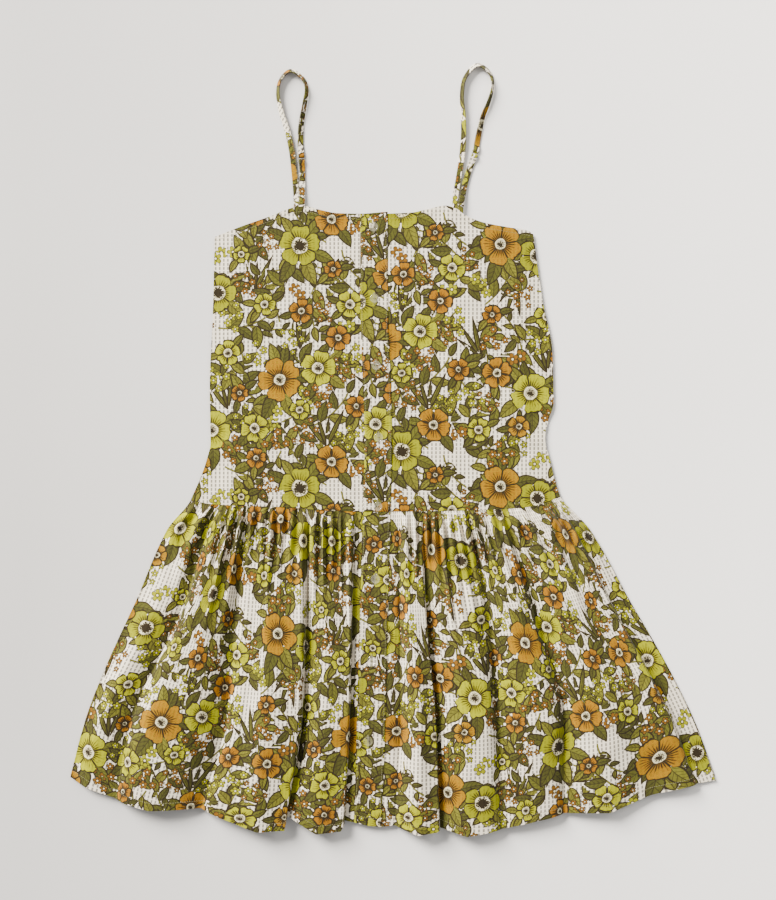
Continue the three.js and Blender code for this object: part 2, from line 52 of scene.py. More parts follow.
FLOWERS = [
    dict(at=(40, 50), radius=27, turn=10, dye=0.5, top=True, leaves=6),
    dict(at=(84, 36), radius=24, turn=33, dye=0.1, top=False, leaves=4),
    dict(at=(182, 92), radius=27, turn=50, dye=0.1, top=True, leaves=6),
    dict(at=(220, 124), radius=22, turn=18, dye=0.5, top=False, leaves=4),
    dict(at=(76, 162), radius=26, turn=28, dye=0.3, top=True, leaves=6),
    dict(at=(36, 186), radius=20, turn=61, dye=0.5, top=False, leaves=3),
    dict(at=(158, 222), radius=28, turn=4, dye=0.5, top=True, leaves=6),
    dict(at=(204, 236), radius=23, turn=40, dye=0.3, top=False, leaves=4),
    dict(at=(242, 22), radius=18, turn=15, dye=0.3, top=True, leaves=3),
    dict(at=(130, 128), radius=14, turn=44, dye=0.7, top=True, leaves=2),
    dict(at=(250, 190), radius=15, turn=21, dye=0.7, top=True, leaves=2),
    dict(at=(96, 254), radius=17, turn=50, dye=0.3, top=True, leaves=3),
    dict(at=(30, 256), radius=13, turn=12, dye=0.7, top=True, leaves=2),
    dict(at=(140, 22), radius=15, turn=30, dye=0.3, top=True, leaves=3),
    dict(at=(14, 118), radius=16, turn=25, dye=0.3, top=True, leaves=3),
    dict(at=(222, 64), radius=12, turn=5, dye=0.7, top=True, leaves=2),
    dict(at=(112, 82), radius=12, turn=18, dye=0.3, top=True, leaves=2),
    dict(at=(110, 206), radius=12, turn=35, dye=0.7, top=True, leaves=2),
    dict(at=(128, 164), radius=19, turn=8, dye=0.3, top=True, leaves=4),
    dict(at=(62, 122), radius=15, turn=41, dye=0.5, top=False, leaves=3),
    dict(at=(182, 186), radius=14, turn=52, dye=0.3, top=False, leaves=2),
    dict(at=(228, 272), radius=17, turn=29, dye=0.7, top=False, leaves=3),
    dict(at=(184, 14), radius=16, turn=47, dye=0.5, top=False, leaves=3),
]
SPRIGS = [
    dict(at=(110, 10), heading=150, length=62, curl=0.9),
    dict(at=(150, 52), heading=200, length=56, curl=-0.8),
    dict(at=(232, 88), heading=280, length=50, curl=0.9),
    dict(at=(160, 138), heading=250, length=60, curl=-0.7),
    dict(at=(150, 176), heading=120, length=58, curl=0.8),
    dict(at=(10, 78), heading=60, length=54, curl=-0.9),
    dict(at=(40, 116), heading=20, length=60, curl=0.8),
    dict(at=(16, 232), heading=300, length=52, curl=-0.8),
    dict(at=(66, 212), heading=100, length=58, curl=0.7),
    dict(at=(120, 272), heading=30, length=60, curl=-0.8),
    dict(at=(214, 176), heading=160, length=56, curl=0.9),
    dict(at=(250, 262), heading=220, length=50, curl=0.7),
    dict(at=(196, 34), heading=70, length=52, curl=-0.9),
    dict(at=(196, 282), heading=340, length=44, curl=0.8),
]
FRONDS = [
    dict(at=(108, 70), heading=62, length=66, curl=0.6),
    dict(at=(4, 96), heading=100, length=62, curl=-0.5),
    dict(at=(148, 116), heading=104, length=66, curl=0.6),
    dict(at=(196, 166), heading=22, length=60, curl=0.7),
    dict(at=(112, 236), heading=205, length=66, curl=-0.6),
    dict(at=(22, 268), heading=38, length=64, curl=0.6),
    dict(at=(228, 258), heading=78, length=60, curl=-0.7),
    dict(at=(158, 0), heading=98, length=62, curl=0.5),
    dict(at=(250, 34), heading=128, length=58, curl=0.6),
    dict(at=(66, 92), heading=192, length=60, curl=0.7),
    dict(at=(62, 226), heading=262, length=58, curl=0.6),
    dict(at=(134, 164), heading=196, length=60, curl=-0.7),
    dict(at=(242, 204), heading=284, length=62, curl=0.6),
    dict(at=(168, 186), heading=305, length=56, curl=-0.6),
    dict(at=(204, 50), heading=245, length=56, curl=0.7),
    dict(at=(92, 118), heading=330, length=52, curl=0.6),
    dict(at=(214, 96), heading=152, length=60, curl=-0.6),
    dict(at=(56, 66), heading=120, length=58, curl=0.7),
    dict(at=(108, 194), heading=68, length=60, curl=0.6),
    dict(at=(172, 240), heading=22, length=58, curl=-0.6),
    dict(at=(254, 168), heading=212, length=56, curl=0.6),
    dict(at=(84, 284), heading=352, length=60, curl=0.7),
    dict(at=(8, 190), heading=318, length=54, curl=0.6),
    dict(at=(146, 60), heading=18, length=60, curl=-0.7),
]
TUFTS = [
    dict(at=(214, 142), heading=96, blades=4),
    dict(at=(96, 186), heading=104, blades=3),
    dict(at=(182, 258), heading=76, blades=3),
    dict(at=(16, 206), heading=112, blades=4),
    dict(at=(128, 38), heading=84, blades=3),
    dict(at=(58, 8), heading=256, blades=3),
]
BLOSSOM_HEADS = [
    dict(at=(118, 44), count=9, dye=0.9, radius=5.3),
    dict(at=(208, 14), count=8, dye=0.9, radius=5.0),
    dict(at=(60, 104), count=9, dye=0.3, radius=5.5),
    dict(at=(144, 96), count=7, dye=0.9, radius=5.0),
    dict(at=(190, 158), count=9, dye=0.9, radius=5.3),
    dict(at=(24, 150), count=7, dye=0.9, radius=4.8),
    dict(at=(116, 176), count=8, dye=0.3, radius=5.3),
    dict(at=(232, 232), count=8, dye=0.9, radius=5.0),
    dict(at=(64, 280), count=9, dye=0.9, radius=5.3),
    dict(at=(172, 270), count=8, dye=0.3, radius=5.3),
    dict(at=(236, 152), count=6, dye=0.3, radius=5.5),
    dict(at=(0, 30), count=7, dye=0.9, radius=5.0),
    dict(at=(132, 250), count=6, dye=0.3, radius=6.0),
    dict(at=(88, 84), count=3, dye=0.3, radius=8.4),
    dict(at=(246, 112), count=3, dye=0.9, radius=7.9),
    dict(at=(150, 172), count=3, dye=0.3, radius=8.4),
    dict(at=(18, 4), count=3, dye=0.3, radius=7.9),
    dict(at=(64, 206), count=2, dye=0.9, radius=8.6),
    dict(at=(188, 196), count=3, dye=0.3, radius=7.9),
    dict(at=(232, 284), count=2, dye=0.3, radius=8.6),
    dict(at=(176, 40), count=2, dye=0.9, radius=8.2),
    dict(at=(38, 88), count=6, dye=0.9, radius=6.2),
    dict(at=(98, 138), count=6, dye=0.9, radius=6.0),
    dict(at=(206, 204), count=7, dye=0.9, radius=6.0),
    dict(at=(84, 226), count=6, dye=0.3, radius=6.2),
    dict(at=(4, 160), count=6, dye=0.3, radius=6.2),
    dict(at=(246, 246), count=5, dye=0.3, radius=6.5),
    dict(at=(152, 150), count=5, dye=0.9, radius=6.2),
    dict(at=(30, 226), count=6, dye=0.9, radius=6.0),
    dict(at=(100, 6), count=6, dye=0.3, radius=6.2),
]
FLOWER_LEAF = 1.3  # a leaf's length by its flower's radius
SPRIG_LEAF = dict(length=16.0, spacing=8.5, spread=42)
FROND_LEAF = dict(length=27.0, spacing=11.0, spread=50)
TREFOIL = dict(length=29.0, spread=50, across=4, along=6, stray=7.0)
BLADE = dict(length=44.0, narrow=3.6, fan=21)


def wrapped(points, at):
    """From a motif's place to each point, in the copy of the repeat that is nearest."""
    offset = points - np.asarray(at)
    return offset - REPEAT * np.round(offset / REPEAT)


def turned(offsets, degrees):
    c, s = math.cos(math.radians(degrees)), math.sin(math.radians(degrees))
    x, y = offsets[..., 0], offsets[..., 1]
    return np.stack([x * c + y * s, y * c - x * s], -1)


flower_places = {"flower_top": [], "flower_low": []}
leaf_places = {"leaf_low": [], "leaf_middle": [], "leaf_top": []}
for flower in FLOWERS:
    layer = "top" if flower["top"] else "low"
    flower_places["flower_" + layer].append(
        dict(at=flower["at"], size=flower["radius"], turn=flower["turn"], dye=flower["dye"])
    )
    for i in range(flower["leaves"]):
        away = flower["turn"] + 360 / flower["leaves"] * (i + 0.3 * math.sin(2.3 * i))
        start = 0.6 * flower["radius"]
        leaf_places["leaf_top" if flower["top"] else "leaf_middle"].append(
            dict(
                at=(
                    flower["at"][0] + start * math.cos(math.radians(away)),
                    flower["at"][1] + start * math.sin(math.radians(away)),
                ),
                size=max(flower["radius"] * FLOWER_LEAF * (0.9 + 0.15 * math.sin(5 * i)), 20),
                turn=away + 12 * math.sin(3.1 * i),
                dye=0.5 + 0.45 * math.sin(1.9 * i + flower["turn"]),
            )
        )
for tuft in TUFTS:
    for i in range(tuft["blades"]):
        leaf_places["leaf_low" if i % 2 else "leaf_middle"].append(
            dict(
                at=tuft["at"],
                size=BLADE["length"] * (1 + 0.16 * math.sin(2.1 * i + tuft["heading"])),
                turn=tuft["heading"] + BLADE["fan"] * (i - (tuft["blades"] - 1) / 2),
                dye=0.5 + 0.45 * math.sin(3.1 * i),
                narrow=BLADE["narrow"],
            )
        )
for i in range(TREFOIL["across"]):
    for j in range(TREFOIL["along"]):
        heading = 137 * (i + TREFOIL["across"] * j) + 40 * math.sin(i * j)
        x = REPEAT[0] * (i + 0.5 * (j % 2)) / TREFOIL["across"] + TREFOIL["stray"] * math.sin(3 * j)
        y = REPEAT[1] * j / TREFOIL["along"] + TREFOIL["stray"] * math.sin(5 * i)
        for k in (-1, 0, 1):
            leaf_places["leaf_low" if k else "leaf_middle"].append(
                dict(
                    at=(x, y),
                    size=TREFOIL["length"] * (1 - 0.12 * abs(k)),
                    turn=heading + TREFOIL["spread"] * k,
                    dye=0.5 + 0.5 * math.sin(1.7 * i + 2.9 * j + k),
                )
            )
stem_places, sprig_places = [], []
for sprays, leaf, places in [
    (SPRIGS, SPRIG_LEAF, [sprig_places]),
    (FRONDS, FROND_LEAF, [leaf_places["leaf_low"], leaf_places["leaf_middle"]]),
]:
    for spray in sprays:
        bend = spray["length"] / spray["curl"]
        side = math.radians(spray["heading"] + 90)
        centre = (spray["at"][0] + bend * math.cos(side), spray["at"][1] + bend * math.sin(side))
        start, arc = spray["heading"] - 90, math.degrees(spray["curl"])
        stem_places.append(dict(at=centre, bend=bend, start=start, arc=arc))
        count = int(spray["length"] / leaf["spacing"])
        for i in range(1, count + 1):
            along = arc * i / count
            out = math.radians(start + along)
            aside = (leaf["spread"] if i % 2 else -leaf["spread"]) * (i < count)
            places[i % len(places)].append(
                dict(
                    at=(centre[0] + bend * math.cos(out), centre[1] + bend * math.sin(out)),
                    size=leaf["length"] * (1.1 - 0.35 * i / count),
                    turn=spray["heading"] + along + aside + 7 * math.sin(4.4 * i),
                    dye=0.5 + 0.5 * math.sin(2.7 * i + spray["heading"]),
                )
            )
blossom_places = []
for head in BLOSSOM_HEADS:
    for i in range(head["count"]):
        out = math.radians(137.5 * i + head["at"][0])
        away = 1.17 * head["radius"] * math.sqrt(i)
        blossom_places.append(
            dict(
                at=(head["at"][0] + away * math.cos(out), head["at"][1] + away * math.sin(out)),
                size=head["radius"] * (1 - 0.03 * i),
                turn=71 * i,
                dye=head["dye"],
            )
        )


FACE_REACH = 1.5  # mm, from the middle of a face of the cloth to its corners
PETALS = 5
PETAL_SHAPES = dict(flower=(3.0, 0.42), blossom=(2.4, 0.45))  # how full a petal is, and how deep its clefts
LEAF_SHAPE = dict(width=0.78, stalk=0.66, tip=0.96, bow=0.6)


def inside_petals(kind):
    """A function for how far a place is inside the rim of a drawn flower or blossom, in its own measure."""
    fullness, depth = PETAL_SHAPES[kind]

    def inside(own, dye):
        turns = np.arctan2(own[:, 1], own[:, 0]) * PETALS / (2 * math.pi) + 10
        side = 2 * np.abs(turns % 1 - 0.5)
        return 1 - depth * side**fullness - np.hypot(own[:, 0], own[:, 1])

    return inside


def inside_leaf(own, dye):
    along = np.clip(own[:, 0], 0, 1)
    width = LEAF_SHAPE["width"] * along ** LEAF_SHAPE["stalk"] * (1 - along) ** LEAF_SHAPE["tip"]
    across = own[:, 1] + LEAF_SHAPE["bow"] * along * (1 - along) * (dye - 0.5)
    return width - np.abs(across) - np.abs(own[:, 0] - along)


def lay_motifs(points, corners, places, inside):
    """The motifs are laid on one after another, and each face keeps the last one that it touches. Each corner
    takes its place in that motif's own measure, and a number with its size, in quarters of a mm, and dye."""
    found = np.tile([-9.0, 0.0, 0.0], (len(points), corners.shape[1], 1))
    for place in places:
        size, narrow = place["size"], place.get("narrow", 1)
        dye = min(max(place["dye"], 0.01), 0.99)
        offset = wrapped(points, place["at"])
        near = np.nonzero((offset * offset).sum(1) < (1.2 * size + 2) ** 2)[0]
        own = turned(offset[near], place["turn"]) / size * (1, narrow)
        near = near[inside(own, dye) > -FACE_REACH * narrow / size]
        spot = turned(offset[near, None] + corners[near] - points[near, None], place["turn"]) / size
        found[near, :, :2] = spot * (1, narrow)
        found[near, :, 2] = round(4 * size / narrow) + dye
    return found


def lay_stems(points, corners):
    best = np.full(len(points), 4.0)
    found = np.tile([9.0, 0.0, 0.0], (len(points), corners.shape[1], 1))
    for place in stem_places:
        offset = wrapped(points, place["at"])
        off = np.hypot(*offset.T) - abs(place["bend"])
        start = place["start"] + (180 if place["bend"] < 0 else 0)
        angle = np.degrees(np.arctan2(offset[:, 1], offset[:, 0])) - (place["start"] + place["arc"] / 2)
        if place["bend"] < 0:
            angle = angle + 180
        angle = (angle + 180) % 360 - 180
        inside = np.abs(angle) < abs(place["arc"]) / 2
        near = inside & (np.abs(off) < best)
        best[near] = np.abs(off)[near]
        spot = offset[near, None] + corners[near] - points[near, None]
        found[near, :, 0] = np.hypot(spot[..., 0], spot[..., 1]) - abs(place["bend"])
    return found


def put(tree, kind, *inputs, at=None, out=0, **settings):
    """Adds a node, sets it, and links or fills its inputs in order, or by place in at."""
    made = tree.nodes.new("ShaderNode" + kind)
    for key, value in settings.items():
        setattr(made, key, value)
    for place, value in [*enumerate(inputs), *(at or {}).items()]:
        if isinstance(value, bpy.types.NodeSocket):
            tree.links.new(value, made.inputs[place])
        elif value is not None:
            made.inputs[place].default_value = value
    return made.outputs[out]


def linear(hex_code):
    """An sRGB hex colour, as the linear one that a shader takes."""
    parts = [int(hex_code[i : i + 2], 16) / 255 for i in (1, 3, 5)]
    return [*(p / 12.92 if p <= 0.04045 else ((p + 0.055) / 1.055) ** 2.4 for p in parts), 1]


NATURAL_GROUND = "#ddd3be"
CHECK_SHADE_GREY = "#6b675d"
DRAWN_LINE = "#251e10"
PALE_RING = "#d3caa4"
FLOWER_DYES = ["#7e7f04", "#919202", "#895b06", "#71480a"]
LEAF_DYES = ["#454518", "#54541a", "#66641e"]
BLOSSOM_DYES = ["#828206", "#6e4a10"]


def motif_group(name):
    """An empty drawing, with a motif's own measure going in, and its ink and cover coming out."""
    group = bpy.data.node_groups.new(name, "ShaderNodeTree")
    group.interface.new_socket("Place", in_out="INPUT", socket_type="NodeSocketVector")
    group.interface.new_socket("Ink", in_out="OUTPUT", socket_type="NodeSocketColor")
    group.interface.new_socket("Cover", in_out="OUTPUT", socket_type="NodeSocketFloat")
    place = group.nodes.new("NodeGroupInput").outputs[0]
    return group, place, group.nodes.new("NodeGroupOutput")


def ink_over(tree, cover, under, over):
    return put(tree, "Mix", at={0: cover, 6: under, 7: over}, out=2, data_type="RGBA")


def sharp(tree, value, width):
    """From 0 to 1 as value grows from 0 to width."""
    return put(tree, "Math", value, width, operation="DIVIDE", use_clamp=True)


def dye_steps(tree, value, dyes):
    """One flat ink for each step of value from 0 to 1."""
    ramp = tree.nodes.new("ShaderNodeValToRGB")
    tree.links.new(value, ramp.inputs[0])
    ramp.color_ramp.interpolation = "CONSTANT"
    while len(ramp.color_ramp.elements) < len(dyes):
        ramp.color_ramp.elements.new(0.5)
    for i, dye in enumerate(dyes):
        ramp.color_ramp.elements[i].position = i / len(dyes)
        ramp.color_ramp.elements[i].color = linear(dye)
    return ramp.outputs[0]


# The lines are drawn about twice as broad as on such a print, so that they show from the camera.
DRAWN_WIDTH = 1.75  # mm


def own_measure(tree, place):
    """Along and across a motif, its size in mm, its dye, and how wide a drawn line is in its own measure."""
    parts = tree.nodes.new("ShaderNodeSeparateXYZ")
    tree.links.new(place, parts.inputs[0])
    size = put(tree, "Math", put(tree, "Math", parts.outputs[2], operation="FLOOR"), 4, operation="DIVIDE")
    dye = put(tree, "Math", parts.outputs[2], operation="FRACT")
    line = put(tree, "Math", DRAWN_WIDTH, size, operation="DIVIDE")
    return parts.outputs[0], parts.outputs[1], size, dye, line


def petals(tree, place, kind):
    """How far out a point is, where it lies across its petal, from -0.5 to 0.5, and where the rim and the gap
    to the next petal are."""
    fullness, depth = PETAL_SHAPES[kind]
    x, y, size, dye, line = own_measure(tree, place)
    flat = put(tree, "VectorMath", place, (1, 1, 0), operation="MULTIPLY")
    out = put(tree, "VectorMath", flat, operation="LENGTH", out=1)
    angle = put(tree, "Math", y, x, operation="ARCTAN2")
    turns = put(tree, "Math", angle, PETALS / (2 * math.pi), 10, operation="MULTIPLY_ADD")
    across = put(tree, "Math", put(tree, "Math", turns, operation="FRACT"), 0.5, operation="SUBTRACT")
    side = put(tree, "Math", put(tree, "Math", across, operation="ABSOLUTE"), 2, operation="MULTIPLY")
    cleft = put(tree, "Math", side, fullness, operation="POWER")
    rim = put(tree, "Math", cleft, -depth, 1, operation="MULTIPLY_ADD")
    gap = put(tree, "Math", put(tree, "Math", 1, side, operation="SUBTRACT"), out, operation="MULTIPLY")
    gap = put(tree, "Math", gap, math.pi / PETALS, operation="MULTIPLY")
    return flat, out, across, side, rim, gap, size, dye, line


def drawn_flower():
    group, place, result = motif_group("drawn_flower")
    flat, out, across, side, rim, gap, size, dye, line = petals(group, place, "flower")
    thin = put(group, "Math", line, 0.4, operation="MULTIPLY")
    each_own = put(group, "VectorMath", place, (1, 1, 9), operation="MULTIPLY")
    sway = put(group, "TexNoise", at={0: each_own, 2: 3.2, 3: 2})
    wobble = put(group, "Math", sway, 0.32, -0.16, operation="MULTIPLY_ADD")
    notch = put(group, "Math", side, 0.2, operation="SUBTRACT", use_clamp=True)
    notch = put(group, "Math", 0.2, notch, operation="SUBTRACT")
    notch = put(group, "Math", notch, 0.24, operation="MULTIPLY")
    rim = put(group, "Math", put(group, "Math", rim, notch, operation="SUBTRACT"), wobble, operation="ADD")
    inside = put(group, "Math", rim, out, operation="SUBTRACT")
    # Dark lines of one width: round each petal, between petals, and rays from the middle that end unevenly
    outline = put(group, "Math", inside, line, operation="SUBTRACT")
    outline = put(group, "Math", 1, sharp(group, outline, thin), operation="SUBTRACT")
    between = put(group, "Math", gap, thin, operation="SUBTRACT")
    between = put(group, "Math", 1, sharp(group, between, thin), operation="SUBTRACT")
    rays = put(group, "Math", size, 0.15, 2.6, operation="MULTIPLY_ADD")
    rays = put(group, "Math", rays, operation="FLOOR")
    ray = put(group, "Math", across, rays, 0.5, operation="MULTIPLY_ADD")
    ray = put(group, "Math", put(group, "Math", ray, operation="FRACT"), 0.5, operation="SUBTRACT")
    off_ray = put(group, "Math", put(group, "Math", ray, operation="ABSOLUTE"), out, operation="MULTIPLY")
    off_ray = put(group, "Math", off_ray, 0.4 * math.pi, operation="MULTIPLY")
    off_ray = put(group, "Math", off_ray, rays, operation="DIVIDE")
    reach = put(group, "Math", sway, 0.9, 0.3, operation="MULTIPLY_ADD")
    taper = put(group, "Math", reach, out, operation="SUBTRACT")
    taper = put(group, "Math", taper, 3, operation="MULTIPLY", use_clamp=True)
    taper = put(group, "Math", taper, line, operation="MULTIPLY")
    taper = put(group, "Math", taper, 0.6, operation="MULTIPLY")
    vein = sharp(group, put(group, "Math", taper, off_ray, operation="SUBTRACT"), thin)
    # Petals deepen towards the middle
    dyed = dye_steps(group, dye, FLOWER_DYES)
    deep = put(group, "Math", out, -1.3, 0.95, operation="MULTIPLY_ADD", use_clamp=True)
    shades = {0: deep, 6: dyed, 7: (0.6, 0.48, 0.36, 1)}
    body = put(group, "Mix", at=shades, out=2, data_type="RGBA", blend_type="MULTIPLY")
    ink = ink_over(group, vein, body, linear(DRAWN_LINE))
    # The middle: a pale disc with fine dark spokes, and stamens drawn as dots that close to a dark eye
    heart = put(group, "Math", dye, -0.3, 0.4, operation="MULTIPLY_ADD")
    heart = put(group, "Math", heart, 0.22, operation="MAXIMUM")
    frayed = put(group, "Math", wobble, 0.5, heart, operation="MULTIPLY_ADD")
    ring = sharp(group, put(group, "Math", frayed, out, operation="SUBTRACT"), 0.03)
    ink = ink_over(group, ring, ink, linear(PALE_RING))
    spoke = put(group, "Math", across, 3, 0.5, operation="MULTIPLY_ADD")
    spoke = put(group, "Math", spoke, operation="FRACT")
    spoke = put(group, "Math", put(group, "Math", spoke, 0.5, operation="SUBTRACT"), operation="ABSOLUTE")
    off_spoke = put(group, "Math", spoke, out, operation="MULTIPLY")
    off_spoke = put(group, "Math", off_spoke, 2 * math.pi / 15, operation="MULTIPLY")
    spokes = sharp(group, put(group, "Math", thin, off_spoke, operation="SUBTRACT"), thin)
    eye = put(group, "Math", out, heart, operation="DIVIDE")
    within = sharp(group, put(group, "Math", 0.84, eye, operation="SUBTRACT"), 0.1)
    spokes = put(group, "Math", spokes, within, operation="MULTIPLY")
    close = put(group, "Math", size, 0.6, operation="MULTIPLY")
    dots = put(group, "TexVoronoi", at={0: flat, 2: close}, out=0)
    dark_eyed = put(group, "Math", dye, 0.2, operation="LESS_THAN")
    dark_eyed = put(group, "Math", dark_eyed, 0.25, operation="MULTIPLY")
    dense = put(group, "Math", eye, -0.85, 1.03, operation="MULTIPLY_ADD")
    dense = put(group, "Math", dense, dark_eyed, operation="ADD")
    dotted = sharp(group, put(group, "Math", dense, dots, operation="SUBTRACT"), 0.12)
    dotted = put(group, "Math", dotted, spokes, operation="MAXIMUM")
    dotted = put(group, "Math", dotted, ring, operation="MULTIPLY")
    ink = ink_over(group, dotted, ink, linear(DRAWN_LINE))
    beyond = put(group, "Math", 1, ring, operation="SUBTRACT")
    lines = put(group, "Math", outline, between, operation="MAXIMUM")
    lines = put(group, "Math", lines, beyond, operation="MULTIPLY")
    group.links.new(ink_over(group, lines, ink, linear(DRAWN_LINE)), result.inputs[0])
    group.links.new(sharp(group, inside, 0.02), result.inputs[1])
    return group


def drawn_leaf():
    group, place, result = motif_group("drawn_leaf")
    x, y, size, dye, line = own_measure(group, place)
    thin = put(group, "Math", line, 0.4, operation="MULTIPLY")
    along = put(group, "Math", x, 0, operation="ADD", use_clamp=True)
    rest = put(group, "Math", 1, along, operation="SUBTRACT")
    bow = put(group, "Math", along, rest, operation="MULTIPLY")
    bow = put(group, "Math", bow, LEAF_SHAPE["bow"], operation="MULTIPLY")
    bow = put(group, "Math", bow, put(group, "Math", dye, 0.5, operation="SUBTRACT"), operation="MULTIPLY")
    across = put(group, "Math", y, bow, operation="ADD")
    stalk = put(group, "Math", along, LEAF_SHAPE["stalk"], operation="POWER")
    tip = put(group, "Math", rest, LEAF_SHAPE["tip"], operation="POWER")
    width = put(group, "Math", stalk, LEAF_SHAPE["width"], operation="MULTIPLY")
    width = put(group, "Math", width, tip, operation="MULTIPLY")
    off = put(group, "Math", across, operation="ABSOLUTE")
    inside = put(group, "Math", width, off, operation="SUBTRACT")
    dyed = dye_steps(group, dye, LEAF_DYES)
    darker = ink_over(group, 0.3, dyed, linear(DRAWN_LINE))
    ink = ink_over(group, sharp(group, across, 0.02), darker, dyed)
    # Dark lines: the outline, the midrib, and ribs that slant towards the tip
    slant = put(group, "Math", off, -1.1, along, operation="MULTIPLY_ADD")
    slant = put(group, "Math", slant, 5.5, operation="MULTIPLY")
    rib = put(group, "Math", put(group, "Math", slant, operation="FRACT"), 0.5, operation="SUBTRACT")
    rib = put(group, "Math", 0.13, put(group, "Math", rib, operation="ABSOLUTE"), operation="SUBTRACT")
    rib = put(group, "Math", sharp(group, rib, 0.08), 0.7, operation="MULTIPLY")
    midrib = sharp(group, put(group, "Math", thin, off, operation="SUBTRACT"), thin)
    outline = put(group, "Math", line, 1.3, operation="MULTIPLY")
    outline = sharp(group, put(group, "Math", outline, inside, operation="SUBTRACT"), thin)
    veins = put(group, "Math", rib, midrib, operation="MAXIMUM")
    lines = put(group, "Math", veins, outline, operation="MAXIMUM")
    group.links.new(ink_over(group, lines, ink, linear(DRAWN_LINE)), result.inputs[0])
    group.links.new(sharp(group, inside, 0.015), result.inputs[1])
    return group


def drawn_blossom():
    group, place, result = motif_group("drawn_blossom")
    flat, out, across, side, rim, gap, size, dye, line = petals(group, place, "blossom")
    thin = put(group, "Math", line, 0.35, operation="MULTIPLY")
    inside = put(group, "Math", rim, out, operation="SUBTRACT")
    outline = put(group, "Math", line, 0.6, operation="MULTIPLY")
    outline = put(group, "Math", inside, outline, operation="SUBTRACT")
    outline = put(group, "Math", 1, sharp(group, outline, thin), operation="SUBTRACT")
    between = put(group, "Math", 1, sharp(group, gap, thin), operation="SUBTRACT")
    eye = sharp(group, put(group, "Math", 0.34, out, operation="SUBTRACT"), 0.08)
    lines = put(group, "Math", outline, between, operation="MAXIMUM")
    lines = put(group, "Math", lines, eye, operation="MAXIMUM")
    ink = ink_over(group, lines, dye_steps(group, dye, BLOSSOM_DYES), linear(DRAWN_LINE))
    pale = sharp(group, put(group, "Math", 0.2, out, operation="SUBTRACT"), 0.08)
    group.links.new(ink_over(group, pale, ink, linear(PALE_RING)), result.inputs[0])
    group.links.new(sharp(group, inside, 0.08), result.inputs[1])
    return group


CHECK = 4.9  # mm from one grey float to the next, across and along
FLOAT = (0.26, 0.41)
STEM_EDGES = [(1.3, DRAWN_LINE), (0.7, LEAF_DYES[2])]  # mm from a stem's middle, and the ink within


def printed_dobby_cotton():
    made = bpy.data.materials.new("printed_dobby_cotton")
    made.use_nodes = True
    tree = made.node_tree
    shader = tree.nodes["Principled BSDF"]
    cloth = put(tree, "Attribute", attribute_name="cloth", out=1)
    # The woven check: short floats in columns, their grey painted in as the shade of the woven relief
    cells = put(tree, "VectorMath", cloth, (1 / CHECK, 1 / CHECK, 0), operation="MULTIPLY")
    cells = put(tree, "VectorMath", cells, operation="FRACTION")
    cells = put(tree, "VectorMath", cells, (0.5, 0.5, 0), operation="SUBTRACT")
    cells = put(tree, "VectorMath", cells, operation="ABSOLUTE")
    off = tree.nodes.new("ShaderNodeSeparateXYZ")
    tree.links.new(cells, off.inputs[0])
    column = sharp(tree, put(tree, "Math", FLOAT[0], off.outputs[0], operation="SUBTRACT"), 0.1)
    dash = sharp(tree, put(tree, "Math", FLOAT[1], off.outputs[1], operation="SUBTRACT"), 0.08)
    thread = put(tree, "Math", column, dash, operation="MULTIPLY")
    uneven = put(tree, "TexNoise", at={0: cloth, 2: 0.05, 3: 3})
    painted_check_shade = put(tree, "Math", thread, 0.85, operation="MULTIPLY")
    ink = ink_over(tree, painted_check_shade, linear(NATURAL_GROUND), linear(CHECK_SHADE_GREY))
    # The print, from the lowest drawing to the top one
    stem = put(tree, "Attribute", attribute_name="stem", out=1)
    stem_off = tree.nodes.new("ShaderNodeSeparateXYZ")
    tree.links.new(stem, stem_off.inputs[0])
    from_stem = put(tree, "Math", stem_off.outputs[0], operation="ABSOLUTE")
    for half, dye in STEM_EDGES:
        within = put(tree, "Math", half, from_stem, operation="SUBTRACT")
        ink = ink_over(tree, sharp(tree, within, 0.3), ink, linear(dye))
    flower, leaf, blossom = drawn_flower(), drawn_leaf(), drawn_blossom()
    for layer, drawing in [
        ("sprig", leaf),
        ("leaf_low", leaf),
        ("leaf_middle", leaf),
        ("leaf_top", leaf),
        ("blossom", blossom),
        ("flower_low", flower),
        ("flower_top", flower),
    ]:
        place = put(tree, "Attribute", attribute_name=layer, out=1)
        drawn = tree.nodes.new("ShaderNodeGroup")
        drawn.node_tree = drawing
        tree.links.new(place, drawn.inputs[0])
        ink = ink_over(tree, drawn.outputs[1], ink, drawn.outputs[0])
    # The check's painted shade shows faintly through the ink too, and the dye is a little uneven
    dye = put(tree, "Math", uneven, 0.2, 0.82, operation="MULTIPLY_ADD")
    check_shade_through_ink = put(tree, "Math", thread, -0.16, 1.02, operation="MULTIPLY_ADD")
    faint = put(tree, "Math", dye, check_shade_through_ink, operation="MULTIPLY")
    grey = put(tree, "CombineColor", faint, faint, faint)
    colour = put(tree, "Mix", at={0: 1.0, 6: ink, 7: grey}, out=2, data_type="RGBA", blend_type="MULTIPLY")
    tree.links.new(colour, shader.inputs["Base Color"])
    # Relief: the floats stand up from the ground, over the unevenness of the yarn. The yarn is about 0.3 mm
    # thick, too fine to show, so it is drawn coarser.
    yarn = put(tree, "TexNoise", at={0: cloth, 2: 1.3, 3: 2})
    relief = put(tree, "Math", yarn, 0.5, thread, operation="MULTIPLY_ADD")
    bump = put(tree, "Bump", at={"Strength": 0.35, "Distance": 0.0002, "Height": relief})
    tree.links.new(bump, shader.inputs["Normal"])
    shader.inputs["Roughness"].default_value = 0.88
    shader.inputs["Specular IOR Level"].default_value = 0.08
    shader.inputs["Sheen Weight"].default_value = 0.08
    shader.inputs["Sheen Roughness"].default_value = 0.5
    return made


cotton = printed_dobby_cotton()

